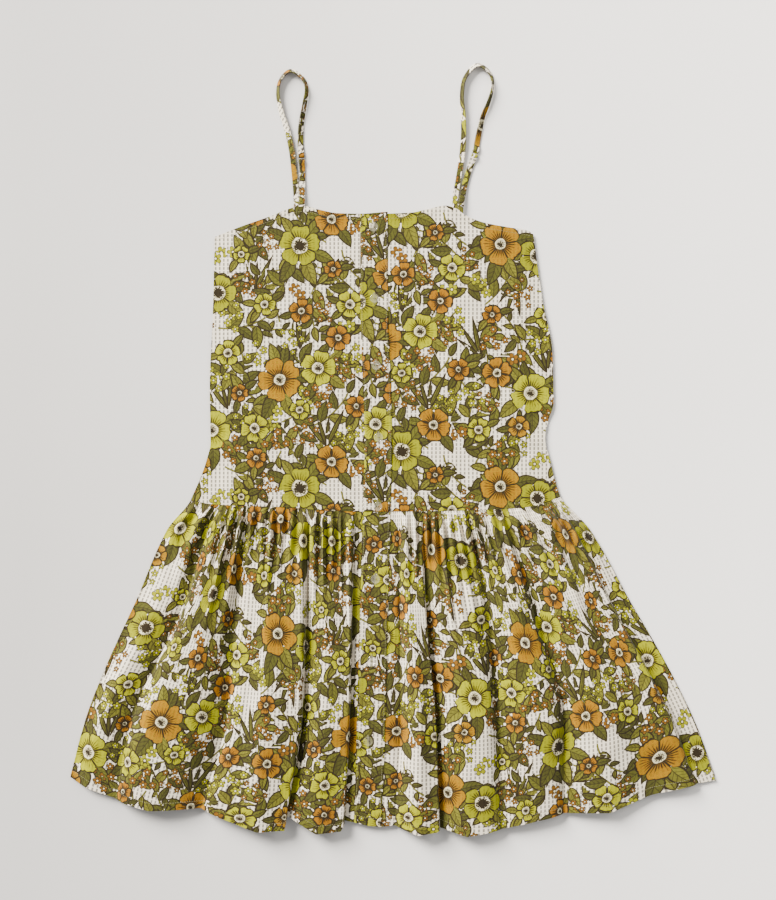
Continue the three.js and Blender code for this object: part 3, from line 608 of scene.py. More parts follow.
# The dress's own measure, in mm, has 0 across at the middle of the bodice and 0 along at the waist. The fifth
# button lies beside that place, and gives it in the frame.
FIFTH_BUTTON = (3.4, 6.4)
low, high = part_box("button_5")
to_frame = Vector(((low.x + high.x) * 500 - FIFTH_BUTTON[0], (low.y + high.y) * 500 - FIFTH_BUTTON[1], 0))


def shell(name, outer, inner, flat, start=(0, 0), turn=0, flip=False):
    """A piece of cloth from a grid of outer points and one of inner points, with each point's place on the
    flat cloth. Rows run from the top down and columns from left to right. It is cut at start, turned."""
    rows, columns = outer.shape[:2]
    count = rows * columns
    index = np.arange(count).reshape(rows, columns)
    a, b, c, d = index[:-1, :-1], index[:-1, 1:], index[1:, 1:], index[1:, :-1]
    front = np.stack([a, d, c, b], -1).reshape(-1, 4)
    rim = np.concatenate([index[0, :], index[1:, -1], index[-1, -2::-1], index[-2:0:-1, 0]])
    after = np.roll(rim, -1)
    edge = np.stack([rim, after, after + count, rim + count], -1)
    faces = np.concatenate([front, front[:, ::-1] + count, edge])
    if flip:
        faces = faces[:, ::-1]
    points = (np.concatenate([outer.reshape(-1, 3), inner.reshape(-1, 3)]) + np.array(to_frame)) / 1000
    mesh = bpy.data.meshes.new(name)
    mesh.from_pydata(points.tolist(), [], faces.tolist())
    mesh.update()
    mesh.shade_smooth()
    mesh.set_sharp_from_angle(angle=math.radians(60))
    # The print, laid on the flat cloth before it is cut
    laid = turned(np.concatenate([flat.reshape(-1, 2)] * 2), -turn) + np.asarray(start)
    corners = laid[faces]
    middles = corners.mean(1)
    layers = {"cloth": np.dstack([corners, np.zeros(corners.shape[:2])]), "stem": lay_stems(middles, corners)}
    for layer, places in {"sprig": sprig_places, **leaf_places}.items():
        layers[layer] = lay_motifs(middles, corners, places, inside_leaf)
    for kind, motifs in [("blossom", {"blossom": blossom_places}), ("flower", flower_places)]:
        for layer, places in motifs.items():
            layers[layer] = lay_motifs(middles, corners, places, inside_petals(kind))
    for layer, values in layers.items():
        made = mesh.attributes.new(layer, "FLOAT_VECTOR", "CORNER")
        made.data.foreach_set("vector", values.astype(np.float32).ravel())
    # A map for baking: the outside takes most of it, the inside the rest, and the cut edge a thin strip
    across, down = np.meshgrid(np.linspace(0.004, 0.996, columns), np.linspace(0.996, 0.23, rows))
    outside = np.stack([across, down], -1).reshape(-1, 2)
    inside = np.stack([across, (down - 0.23) * 0.25 + 0.03], -1).reshape(-1, 2)
    chart = np.concatenate([outside, inside])[faces]
    along = np.linspace(0.004, 0.996, len(edge) + 1)
    lengths = np.stack([along[:-1], along[1:], along[1:], along[:-1]], -1)
    widths = np.tile([0.02, 0.02, 0.006, 0.006], (len(edge), 1))
    strip = np.stack([lengths, widths], -1)
    chart[len(faces) - len(edge) :] = strip[:, ::-1] if flip else strip
    bake = mesh.uv_layers.new(name="OFBake")
    bake.data.foreach_set("uv", chart.astype(np.float32).ravel())
    mesh.materials.append(cotton)
    made = bpy.data.objects.new(name, mesh)
    bpy.context.scene.collection.objects.link(made)
    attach(made, "root")
    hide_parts(name)
    return made


CLOTH = 0.7  # mm, two turnings of thin cotton at an edge
BAND_LINE = [
    (-376, -9), (-270, -4.8), (-178, -3), (-80, -1), (0, 1.8), (84, 4), (132, 3), (252, -1), (356, -1.2),
]
RIGHT_SIDE = [(14, -220.8), (44, -207.6), (66, -200.4), (82, -197), (150, -198), (234, -194.4), (329, -192)]
LEFT_SIDE = [
    (18, 222), (30, 217.8), (59, 210.5), (88, 203.6), (110, 208), (130, 214), (190, 212.6), (255, 200.4),
    (332, 189.6),
]
NECKLINE = [
    (-193, 328.6), (-161, 341), (-125, 353.4), (-98, 363.6), (-84, 365.4), (-65, 361), (-45, 357.2),
    (0, 356.4), (43, 357.8), (62, 361.6), (84, 366.2), (98, 362), (108, 354.6), (131, 345.8), (162, 340),
    (183, 336.6), (191, 331.4),
]
WAIST = [(-222, 14), (-193, 8.6), (-104, 5), (-50, 0.8), (0, 0), (79, 0.8), (148, 3), (186, 6), (223, 18)]
BACK_DROP = 5  # mm, the back's neckline below the front's
SEAM = 0.3  # mm, between the bodice and the skirt


def through(table, at):
    """A smooth curve through known values that never swings past them."""
    xs, ys = np.array(table, float).T
    at = np.clip(at, xs[0], xs[-1])
    k = np.clip(np.searchsorted(xs, at, side="right") - 1, 0, len(xs) - 2)
    slope = np.diff(ys) / np.diff(xs)
    before, after = slope[:-1], slope[1:]
    both = np.where(before + after == 0, 1, before + after)
    inner = np.where(before * after > 0, 2 * before * after / both, 0)
    tangent = np.concatenate([slope[:1], inner, slope[-1:]])
    step = xs[k + 1] - xs[k]
    t = (at - xs[k]) / step
    rise = t * t * (3 - 2 * t)
    bend = step * t * (1 - t) * (tangent[k] * (1 - t) - tangent[k + 1] * t)
    return ys[k] * (1 - rise) + ys[k + 1] * rise + bend


def ramp(value, start, end):
    t = np.clip((value - start) / (end - start), 0, 1)
    return t * t * (3 - 2 * t)


def ripples(x, y, length, seed, stretch=1.0, turn=0.0):
    """Soft unevenness of about this wavelength in mm, from -1 to 1, longer along the way it is turned."""
    chance = np.random.RandomState(seed)
    c, s = math.cos(math.radians(turn)), math.sin(math.radians(turn))
    u, v = (x * c + y * s) / stretch, y * c - x * s
    total = 0
    for _ in range(9):
        heading, phase = chance.uniform(0, 2 * math.pi, 2)
        wave = 2 * math.pi / (length * chance.uniform(0.7, 1.6))
        total = total + np.sin(wave * (u * math.cos(heading) + v * math.sin(heading)) + phase)
    return total / 4.5


def bodice_plan(across, up, drop=0.0):
    """Across runs from -1 at the wearer's right side seam to 1 at the left, and up from 0 at the waist to 1
    at the top."""

    def width(y):
        middle = through(BAND_LINE, y)
        side = np.where(across < 0, through(RIGHT_SIDE, y), through(LEFT_SIDE, y))
        return middle + np.abs(across) * (side - middle)

    bottom = through(WAIST, width(through(WAIST, width(0 * across)))) + SEAM / 2
    top = through(NECKLINE, width(355 + 0 * across)) - drop
    y = bottom + (top - bottom) * up
    return width(y), y


across, up = np.meshgrid(np.linspace(-1, 1, 150), np.linspace(1, 0, 120))
x, y = bodice_plan(across, up, BACK_DROP)
rest = 0.12 * (1 + ripples(x, y, 40, 3))
under = np.stack([x, y, rest], -1)
flat = np.stack([-x, y], -1)
bodice_back = shell("bodice_back", under, under + [0, 0, CLOTH], flat, start=(31, 118), flip=True)


# The back of the skirt
# A straight width of the cotton, gathered into the waist seam like the front. The weight of the front presses
# its gathers down to low ripples, and its hem lies just inside the front's.
BACK_PANEL = (800.0, 372.0)  # mm, flat
BACK_HEM = [
    (-365, -316), (-308, -336), (-212, -346), (-110, -354), (0, -365), (110, -366), (224, -350), (330, -330),
    (408, -317),
]
HIP_Y, LOW_Y = -130, -250
SIDE_PUFF = dict(out=9, full=-22, gone=-120)
BACK_GATHERS = 18
BACK_WAVE = [(0, 1.2), (0.4, 0.7), (1, 1.6)]
SIDE_LINES = dict(right=([-220.8, -297, -347, -365], -318), left=([222, 318, 381, 408], -322))


def fold_line(x_at, hem, down):
    """A line down the skirt, from its place at the waist, the hip, low down and at the hem."""
    top = through(WAIST, np.array(float(x_at[0]))) - SEAM / 2
    y = top + (hem - top) * down
    above, below = ramp(y, top, SIDE_PUFF["full"]), ramp(y, SIDE_PUFF["gone"], SIDE_PUFF["full"])
    puff = np.where(y > SIDE_PUFF["full"], above, below)
    side = np.sign(x_at[0]) * abs(x_at[0] / 221) ** 6
    table = [(hem, x_at[3]), (LOW_Y, x_at[2]), (HIP_Y, x_at[1]), (float(top), x_at[0])]
    return through(table, y) + SIDE_PUFF["out"] * puff * side, y


def back_wave(down, share):
    return through(BACK_WAVE, down) * ramp(np.minimum(share, 1 - share), 0, 0.1)


share, down = np.meshgrid(np.linspace(0, 1, 320), np.linspace(0, 1, 110))
right, left = (fold_line(*SIDE_LINES[side], down)[0] for side in ("right", "left"))
waist_x = -220.8 + (222 + 220.8) * share
top = through(WAIST, waist_x) - SEAM / 2
x = right + (left - right) * share
y = top + (through(BACK_HEM, -365 + (408 + 365) * share) - top) * down
phase = share + 0.006 * ripples(share * 700, down * 120, 90, 21)
wave = np.clip(0.5 - 0.5 * np.cos(2 * math.pi * BACK_GATHERS * phase) - 0.35, 0, 1) / 0.65
under = np.stack([x, y, 0.85 * back_wave(down, share) * wave + 0.1 * (1 + ripples(x, y, 30, 4))], -1)
flat = np.stack([-(share - 0.5) * BACK_PANEL[0], -down * BACK_PANEL[1]], -1)
skirt_back = shell("skirt_back", under, under + [0, 0, CLOTH], flat, start=(143, 40), flip=True)


# The fronts of the bodice
# Two pieces of the cotton, sewn to the back at the sides and turned in at the top edge. They lie almost flat,
# with a little air under the bust, a soft crease below the left strap and faint drag lines above the gathers.
FRONT_LEVEL = 2.7  # mm, the outside of a front where it lies right on the back
BODICE_LOFT, BUST_LOFT, SIDE_ROLL = 2.2, 1.1, 0.2
BUST = dict(x=96, y=262, reach=62)
CREASES = [
    dict(at=(105, 300), to=(110, 262), depth=-1.6, width=6),
    dict(at=(-118, 292), to=(-112, 268), depth=-0.9, width=6),
    dict(at=(172, 120), to=(206, 108), depth=-1.8, width=7),
    dict(at=(160, 88), to=(204, 84), depth=1.6, width=9),
    dict(at=(-205, 60), to=(-160, 84), depth=1.2, width=9),
]


def bodice_height(across, x, y):
    level = FRONT_LEVEL + BODICE_LOFT * (1 - ramp(np.abs(across), 1 - SIDE_ROLL, 1))
    away = np.hypot(np.abs(x) - BUST["x"], y - BUST["y"]) / BUST["reach"]
    level = level + BUST_LOFT * np.exp(-away * away)
    soft = ramp(1 - np.abs(across), 0, 0.12)
    waves = 0.5 * ripples(x, y, 75, 5, stretch=1.8, turn=80)
    waves = waves + 0.16 * ripples(x, y, 19, 6, stretch=2.2, turn=70)
    level = level + soft * waves
    level = level + soft * 0.5 * ramp(y, 60, 0) * ripples(x, y, 13, 7, stretch=4, turn=90)
    for crease in CREASES:
        start, end = np.array(crease["at"]), np.array(crease["to"])
        along = end - start
        t = np.clip(((x - start[0]) * along[0] + (y - start[1]) * along[1]) / (along @ along), 0, 1)
        off = np.hypot(x - start[0] - t * along[0], y - start[1] - t * along[1]) / crease["width"]
        level = level + crease["depth"] * np.exp(-off * off) * np.sin(math.pi * (0.15 + 0.7 * t))
    return level


MEET = 0.0018  # of a front's width, from the middle to its edge
for side, name, start in [(-1, "bodice_front_right", (12, 64)), (1, "bodice_front_left", (150, 20))]:
    ends = (-1, -MEET) if side < 0 else (MEET, 1)
    across, up = np.meshgrid(np.linspace(*ends, 112), np.linspace(1, 0, 180))
    x, y = bodice_plan(across, up)
    outer = np.stack([x, y, bodice_height(across, x, y)], -1)
    flat = np.stack([x, y], -1)
    made = shell(name, outer, outer - [0, 0, CLOTH], flat, start=start)


# The fronts of the skirt
# Two straight widths of the cotton, gathered by two rows of stitches to a bit over half their width and sewn
# up into the waist seam. The gathers run out one after another, and the fullness falls into folds that widen
# to the hem.
STEEPNESS = {"crease": (2.4, 2.4), "fall to left": (3.4, 1.7), "fall to right": (1.6, 3.6)}  # to each side
FULLNESS = 1.7  # how much higher the folds stand than in SKIRT_LINES
# A row for each line down the skirt: its kind, its places across, where it ends, its heights, how many
# gathers there are up to the next row, and how far it leans
SKIRT_LINES = [
    ("seam", [-220.8, -297, -347, -365], -318, [0, 0, 0, 0], 1, 0),
    ("roll", [-206, -268, -324, -344], -330, [0.6, 4, 6, 5], 1, 0),
    ("fall to right", [-187, -236, -291, -310], -342.5, [0, 0.3, 0.6, 1.5], 1, 0),
    ("fold", [-172, -206, -237, -264], -355.2, [0.8, 9, 12, 12], 2, -8),
    ("crease", [-152, -168, -178, -208], -354, [0, 1, 1, 1.2], 1, 0),
    ("flank", [-138, -146, -158, -184], -364.8, [0.4, 5.5, 7.5, 8], 2, 0),
    ("fold", [-117, -124, -131, -140], -380, [0.8, 8, 12, 14], 2, 0),
    ("lip", [-92, -98, -102, -113], -379, [0.4, 7, 10, 10], 1, 9),
    ("fall to left", [-79, -82, -87, -108.5], -361, [0, 0.4, 0.6, 1], 2, 0),
    ("fold", [-56, -55, -60, -70], -383, [0.8, 6.5, 8.5, 11], 2, 0),
    ("lip", [-36, -36, -38, -44], -380.5, [0.4, 5.5, 7, 8], 1, 5),
    ("fall to left", [-23, -27, -30, -36.5], -369, [0, 1, 1, 1], 0, 0),
    ("band edge", [-14.7, -17.9, -21.3, -25], -371, [0, 2, 2, 2], 0, 0),
    ("centre front", [1.8, -1.9, -4.4, -9], -375, [0, 2, 2, 2], 0, 0),
    ("band edge", [18.3, 15, 12.3, 7.5], -376.5, [0, 2, 2, 2], 0, 0),
    ("fall to left", [28, 30, 31, 24], -375, [0, 0.6, 0.3, 0.6], 1, 0),
    ("fold", [43, 47, 53, 52], -384.2, [0.8, 8, 10, 13], 1, 0),
    ("lip", [52, 56, 66, 70], -381, [0.4, 7, 7, 10], 0, 6),
    ("fall to left", [57, 62, 72, 77], -377, [0, 0.4, 0.5, 0.5], 3, 0),
    ("fold", [83, 95, 107, 104], -386.2, [0.8, 8, 10, 11], 3, 9),
    ("fall to left", [110, 137, 146, 152], -378, [0, 0.6, 1.6, 4], 2, 0),
    ("fold", [131, 165, 186, 188], -368.5, [0.8, 9, 9.5, 8], 2, 8),
    ("fall to left", [152, 194, 226, 226], -360, [0, 0.4, 0.7, 1.6], 2, 0),
    ("fold", [180, 237, 276, 280], -358, [0.8, 9, 10, 9], 1, 0),
    ("swell", [200, 268, 319, 330], -338, [0, 5, 6, 3.5], 1, 0),
    ("roll", [207, 282, 343, 366], -329, [0.6, 6, 8, 7], 1, 5),
    ("fall to left", [213, 294, 356, 385], -325, [0.2, 1.5, 1, 1.5], 1, 0),
    ("seam", [222, 318, 381, 408], -322, [0, 0, 0, 0], 0, 0),
]
CENTRE_LINE = [row[0] for row in SKIRT_LINES].index("centre front")
GATHER = dict(height=(4.5, 8.0), out=(0.22, 0.62), lean=(-0.8, 0.8))  # from the least to the most
gather_chance = np.random.RandomState(11)
gathers = [
    [{key: gather_chance.uniform(*ends) for key, ends in GATHER.items()} for _ in range(row[4])]
    for row in SKIRT_LINES
]


def skirt_front(line, down):
    """Line counts the rows above, with a fraction between two. Down runs from 0 at the waist to 1 at the
    hem."""
    x, y, height = (np.zeros(line.shape) for _ in range(3))
    lean = np.zeros(line.shape)
    for k in range(len(SKIRT_LINES) - 1):
        here = (line >= k) & ((line < k + 1) | (k == len(SKIRT_LINES) - 2))
        if not here.any():
            continue
        t, d = line[here] - k, down[here]
        kind, x_at, hem, rise, count, lay = SKIRT_LINES[k]
        kind_next, x_next, hem_next, rise_next, _, lay_next = SKIRT_LINES[k + 1]
        ax, ay = fold_line(x_at, hem, d)
        bx, by = fold_line(x_next, hem_next, d)
        share = t * t * (3 - 2 * t)
        if kind in STEEPNESS:
            share = 1 - (1 - t) ** STEEPNESS[kind][1]
        if kind_next in STEEPNESS:
            share = t ** STEEPNESS[kind_next][0]
        waist = x_at[0] + (x_next[0] - x_at[0]) * t
        seams = through(WAIST, np.array([float(x_at[0]), float(x_next[0])]))
        off_seam = through(WAIST, waist) - (seams[0] + (seams[1] - seams[0]) * t)
        steps = [0, 1 / 3, 2 / 3, 1]
        fuller = np.interp(d, [0, 0.3, 0.7, 1], [1, FULLNESS, FULLNESS, 1])
        high, high_next = (fuller * through(list(zip(steps, heights)), d) for heights in (rise, rise_next))
        fold = high * (1 - share) + high_next * share
        z = np.zeros(t.shape)
        if count:
            within = t * count
            which = np.minimum(within.astype(int), count - 1)
            own = {key: np.array([g[key] for g in gathers[k]])[which] for key in GATHER}
            turn = within - which
            turn = turn + own["lean"] * 0.16 * np.sin(2 * math.pi * turn)
            swell = 0.3 + 0.7 * ramp(d, 0, 0.05)
            pleat = (0.5 - 0.5 * np.cos(2 * math.pi * turn)) ** 1.15
            z = own["height"] * swell * (1 - ramp(d, 0.05, own["out"])) * pleat
        lift = ramp(d, 0.1, 0.5)
        x[here] = ax + (bx - ax) * t
        y[here] = ay + (by - ay) * t + off_seam * (1 - d)
        lean[here] = (lay * (1 - share) + lay_next * share) * lift
        height[here] = fold + z
    over = back_wave(down, line / (len(SKIRT_LINES) - 1))
    waist_across = np.clip(x / 221, -1, 1)
    loft = BODICE_LOFT * (1 - ramp(np.abs(waist_across), 1 - SIDE_ROLL, 1)) * (1 - down) ** 2
    level = FRONT_LEVEL + np.maximum(loft, over)
    side = ramp(np.minimum(line, len(SKIRT_LINES) - 1 - line), 0, 1)
    puckers = 0.9 * ripples(x, y, 5.5, 12, stretch=9, turn=90)
    puckers = puckers + 0.7 * ripples(x, y, 9, 13, stretch=9, turn=90)
    unsewn = np.abs(line - CENTRE_LINE) > 1.2
    puckers = side * unsewn * puckers * ramp(down, 0, 0.01)
    height = height + puckers * (0.25 + 0.75 * ramp(down, 0.3, 0.03)) * ramp(down, 0.75, 0.3)
    soft = 0.35 * ripples(x, y, 46, 8, stretch=2.6, turn=90) + 0.13 * ripples(x, y, 15, 9, stretch=2, turn=75)
    return np.stack([x + lean * 0.6, y, level + height + side * soft * ramp(down, 0, 0.15)], -1)


def on_cloth(grid):
    """Where each point of a gathered grid lies on the flat cloth, each row as wide as those low down."""
    rows = grid.shape[0]
    steps = np.linalg.norm(np.diff(grid, axis=1), axis=2)
    wide = np.median(steps[int(rows * 0.6) : int(rows * 0.95)], axis=0)
    u = np.concatenate([[0], np.cumsum(wide)])
    falls = np.linalg.norm(np.diff(grid, axis=0), axis=2)
    v = np.concatenate([np.zeros((1, grid.shape[1])), np.cumsum(falls, axis=0)])
    return np.stack(np.broadcast_arrays(u[None, :], -v), -1)


def thicken(grid, thickness):
    """The inner points of a grid of outer ones."""
    a = np.gradient(grid, axis=1)
    b = np.gradient(grid, axis=0)
    normal = np.cross(a, -b)
    normal /= np.linalg.norm(normal, axis=2, keepdims=True)
    return grid - normal * thickness


CENTRE_GAP = 0.012  # of a row, from the centre front to the edge of each skirt
fall = np.concatenate([np.linspace(0, 0.2, 60)[:-1], np.linspace(0.2, 1, 115)])
last = len(SKIRT_LINES) - 1
for name, ends, columns, start in [
    ("skirt_front_right", (0, CENTRE_LINE - CENTRE_GAP), 246, (60, 200)),
    ("skirt_front_left", (CENTRE_LINE + CENTRE_GAP, last), 246, (190, 96)),
]:
    line, down = np.meshgrid(np.linspace(*ends, columns), fall)
    outer = skirt_front(line, down)
    flat = on_cloth(outer)
    made = shell(name, outer, thicken(outer, CLOTH), flat, start=start)


# The button band
# A doubled strip of the cotton, 33 mm wide, sewn down the front from the neckline to the hem over both
# fronts. It is in two lengths that meet at the waist seam, and the skirt's isn't gathered.
BAND_WIDTH = 33.0
BAND_LIFT = 1.0  # mm, the band's outside above the front's
BUTTONS = [
    (-1.6, 340.1), (-0.6, 254.9), (1.4, 174.8), (4.3, 89), FIFTH_BUTTON, (0.5, -80.4), (-3.8, -177.8),
    (-8.2, -273.8),
]


def band_lie(share, x, y):
    """The band's own softness: a rounded edge, a slight pull at each button, and shallow ripples."""
    edge = 0.35 * (1 - ramp(1 - np.abs(share), 0, 0.12))
    height = -edge + 0.18 * ripples(x, y, 26, 14, stretch=1.5)
    for bx, by in BUTTONS:
        away = np.hypot((x - bx) / 9, (y - by) / 7)
        height = height - 0.35 * np.exp(-away * away)
    return height


def band_on_bodice(share, up):
    """Share runs from -1 to 1 across the band, and up as on the bodice."""
    mid_y = bodice_plan(0 * share, up)[1]
    side = np.where(share < 0, through(RIGHT_SIDE, mid_y), through(LEFT_SIDE, mid_y))
    half = np.abs(side - through(BAND_LINE, mid_y))
    reach = share * BAND_WIDTH / 2 / half
    x, y = bodice_plan(reach, up)
    y = y + 2.0 * ramp(up, 0.98, 1) * ramp(share, -1, 1)
    return np.stack([x, y, bodice_height(reach, x, y) + BAND_LIFT + band_lie(share, x, y)], -1)


def band_on_skirt(share, down):
    place = skirt_front(CENTRE_LINE + share, down)
    place[..., 2] += BAND_LIFT + band_lie(share, place[..., 0], place[..., 1])
    return place


outer = band_on_bodice(*np.meshgrid(np.linspace(-1, 1, 24), np.linspace(1, 0, 200)))
flat = outer[..., :2]
band_bodice = shell("button_band_bodice", outer, outer - [0, 0, CLOTH], flat, start=(203, 131))

share, down = np.meshgrid(np.linspace(-1, 1, 24), np.linspace(0, 1, 210))
band_top = [outer.reshape(-1, 3)]
outer = band_on_skirt(share, down)
band_top = np.concatenate([*band_top, outer.reshape(-1, 3)])
flat = np.stack([share * BAND_WIDTH / 2, -down * 376], -1)
band_skirt = shell("button_band_skirt", outer, outer - [0, 0, CLOTH], flat, start=(112, 245))


# The sewing
# Machine stitching in a khaki spun thread, 2.8 mm to a stitch: along the neckline, the band and the hem. Each
# button has a worked buttonhole under it, with close bars of thread along both sides and a tack across each
# end.
STITCH = dict(pitch=2.8, gap=0.6, width=0.4, height=0.2)
HOLE = dict(length=13.0, inner=0.25, outer=1.2, bar=0.5)


def spun_thread():
    made = bpy.data.materials.new("spun_polyester_thread")
    made.use_nodes = True
    tree = made.node_tree
    shader = tree.nodes["Principled BSDF"]
    # Two plies twisted at about one turn to the mm, which give a soft unevenness of tone
    ply = put(tree, "TexNoise", at={0: put(tree, "TexCoord", out=3), 2: 1000.0, 3: 1})
    tree.links.new(ink_over(tree, ply, linear("#4d4a28"), linear("#8a8660")), shader.inputs["Base Color"])
    bump = put(tree, "Bump", at={"Strength": 0.3, "Distance": 0.00005, "Height": ply})
    tree.links.new(bump, shader.inputs["Normal"])
    shader.inputs["Roughness"].default_value = 0.6
    shader.inputs["Sheen Weight"].default_value = 0.1
    return made


thread = spun_thread()


def laid_threads(name, starts, ends, up, width, height):
    """Short lengths of thread that lie on the cloth, each a slim closed body from its start to its end."""
    starts, ends, up = (np.asarray(v, float).reshape(-1, 3) for v in (starts, ends, up))
    ahead = ends - starts
    right = np.cross(ahead, up)
    right *= width / 2 / np.linalg.norm(right, axis=1, keepdims=True)
    rings = [
        starts + share * ahead + off
        for share in (0.2, 0.8)
        for off in (right, up * height, -right, -up * 0.1)
    ]
    count = len(starts)
    s, e, *ring = (np.arange(count) + k * count for k in range(10))
    near, far = ring[:4], ring[4:]
    caps = [(s, near[i], near[i - 3]) for i in range(4)] + [(e, far[i - 3], far[i]) for i in range(4)]
    sides = [(near[i], far[i], far[i - 3], near[i - 3]) for i in range(4)]
    faces = [corners for part in (*caps, *sides) for corners in np.stack(part, -1).tolist()]
    mesh = bpy.data.meshes.new(name)
    points = np.concatenate([starts, ends, *rings]) + np.array(to_frame)
    mesh.from_pydata((points / 1000).tolist(), [], faces)
    mesh.shade_smooth()
    mesh.materials.append(thread)
    made = bpy.data.objects.new(name, mesh)
    bpy.context.scene.collection.objects.link(made)
    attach(made, "root")
    return made


def stitches(path, beside):
    """Each stitch's start, end and upward direction, along a path on the cloth, given one beside it."""
    steps = np.concatenate([[0], np.cumsum(np.linalg.norm(np.diff(path, axis=0), axis=1))])
    at = np.arange(STITCH["gap"], steps[-1] - STITCH["pitch"], STITCH["pitch"])
    starts, ends, aside = (
        np.stack([np.interp(place, steps, line[:, i]) for i in range(3)], -1)
        for place, line in [(at, path), (at + STITCH["pitch"] - STITCH["gap"], path), (at, beside)]
    )
    up = np.cross(ends - starts, aside - starts)
    up *= np.sign(up[:, 2:]) / np.linalg.norm(up, axis=1, keepdims=True)
    return starts, ends, up


def row_across(place, ends, at, beside, count=700):
    """A row of stitches on a surface whose first coordinate runs, while the second stays at one value."""
    run = np.linspace(*ends, count)
    return stitches(*(place(run, 0 * run + value) for value in (at, beside)))


def row_down(place, ends, at, beside, count=700):
    run = np.linspace(*ends, count)
    return stitches(*(place(0 * run + value, run) for value in (at, beside)))


def bodice_at(across, up):
    x, y = bodice_plan(across, up)
    return np.stack([x, y, bodice_height(across, x, y)], -1)


neckline = [row_across(bodice_at, ends, 0.983, 0.98) for ends in [(-0.99, -0.09), (0.09, 0.99)]]
neckline.append(row_across(band_on_bodice, (-0.86, 0.86), 0.983, 0.98, 60))
hem = [
    row_across(skirt_front, ends, 0.975, 0.972)
    for ends in [(0.05, CENTRE_LINE - 1.05), (CENTRE_LINE + 1.05, last - 0.05)]
]
hem.append(row_across(band_on_skirt, (-0.86, 0.86), 0.975, 0.972, 60))
band = [
    row_down(place, (0.004, 0.996), side, side * 0.98)
    for place in (band_on_bodice, band_on_skirt)
    for side in (-0.88, 0.88)
]
for name, rows in [("stitching_neckline", neckline), ("stitching_hem", hem), ("stitching_band", band)]:
    laid_threads(name, *(np.concatenate(part) for part in zip(*rows)), STITCH["width"], STITCH["height"])

starts, ends = [], []
for bx, by in BUTTONS:
    half = HOLE["length"] / 2
    for y in np.arange(-half + HOLE["bar"], half - HOLE["bar"] / 2, HOLE["bar"]):
        for side in (-1, 1):
            starts.append((bx + side * HOLE["inner"], by + y))
            ends.append((bx + side * HOLE["outer"], by + y))
    for y in (-half - HOLE["bar"], -half, half, half + HOLE["bar"]):
        starts.append((bx - HOLE["outer"], by + y))
        ends.append((bx + HOLE["outer"], by + y))


def on_band(places):
    """Places across and along the dress, put on the outside of the band."""
    places = np.array(places)
    away = ((places[:, None] - band_top[None, :, :2]) ** 2).sum(2)
    return np.column_stack([places, band_top[away.argmin(1), 2]])


up = np.tile([0.0, 0.0, 1.0], (len(starts), 1))
laid_threads("buttonholes", on_band(starts), on_band(ends), up, 0.9 * HOLE["bar"], 0.3)


# The straps
# Narrow ribbons of the same cotton, folded and stitched along one edge. Each leaves the top edge, turns up on
# its own edge in a loop, and comes back to its slider, from which a short doubled tail goes down to the
# neckline.
STRAP_WIDTH = 7.0  # mm
# A point of a route: across and along the dress, the roll in degrees, and the lift off the surface
RIGHT_STRAP = [
    (-93.4, 350, 0, 1.7), (-93.6, 364, 0, 1.7), (-94.4, 380, 0, 0), (-97, 410, 6, 0), (-99.6, 432, 12, 0),
    (-104.6, 455, 24, 0), (-112.8, 481, 44, 0), (-116.4, 503, 56, 0), (-113, 517.5, 55, 0),
    (-101.6, 528, 46, 0), (-88.4, 521, 50, 0), (-82, 508, 56, 0), (-84.4, 487, 46, 0), (-88.4, 464, 28, 0),
    (-89.4, 440, 12, 0), (-88.5, 428, 0, 1.5), (-88.3, 425.6, 0, 1.4), (-88.2, 424, 0, 0.4),
]
RIGHT_TAIL = [
    (-88, 422.8, 0, 0.4), (-87.9, 420.8, 0, 1.4), (-87.8, 418.4, 0, 1.5), (-87.3, 412, 0, 0.1),
    (-87.2, 400, 0, 0.2), (-87.4, 380, 0, 1.5), (-87.9, 364, 0, 3.2), (-88.2, 352, 0, 3.2),
]
LEFT_STRAP = [
    (95.8, 350, 0, 1.7), (96, 364, 0, 1.7), (97, 380, 0, 0), (99.4, 394, 4, 0), (103.6, 420, 16, 0),
    (106, 447, 30, 0), (105.8, 473, 44, 0), (104, 499, 54, 0), (108, 520, 50, 0), (122.8, 535, 42, 0),
    (137, 526, 50, 0), (141, 510, 60, 0), (136.4, 491, 54, 0), (129.6, 474, 38, 0), (125.6, 458, 24, 0),
    (122.2, 441, 8, 0), (121.4, 434, 0, 1.4), (120.7, 431.6, 0, 1.4), (120.3, 429.8, 0, 0.4),
]
LEFT_TAIL = [
    (119.9, 428.5, 0, 0.4), (119.3, 426.6, 0, 1.4), (118.4, 424.4, 0, 1.5), (116, 418, 0, 0.1),
    (112, 407, 0, 0.1), (106.8, 388, 0, 0.8), (102.8, 366, 0, 3.2), (101.4, 352, 0, 3.2),
]


def smooth_route(route, count):
    """Points at even steps along a curve through the route, each with its own roll and lift."""
    route = np.array(route, float)
    steps = np.concatenate([[0], np.cumsum(np.sqrt(np.hypot(*np.diff(route[:, :2], axis=0).T)))])
    grid = np.linspace(0, steps[-1], 400)
    tangent = np.gradient(route, steps, axis=0)
    k = np.clip(np.searchsorted(steps, grid, side="right") - 1, 0, len(steps) - 2)
    h = (steps[k + 1] - steps[k])[:, None]
    t = ((grid - steps[k]) / h[:, 0])[:, None]
    fine = (
        (2 * t**3 - 3 * t**2 + 1) * route[k] + (t**3 - 2 * t**2 + t) * h * tangent[k]
        + (3 * t**2 - 2 * t**3) * route[k + 1] + (t**3 - t**2) * h * tangent[k + 1]
    )
    length = np.concatenate([[0], np.cumsum(np.hypot(*np.diff(fine[:, :2], axis=0).T))])
    even = np.linspace(0, length[-1], count)
    return np.stack([np.interp(even, length, fine[:, i]) for i in range(4)], -1), even


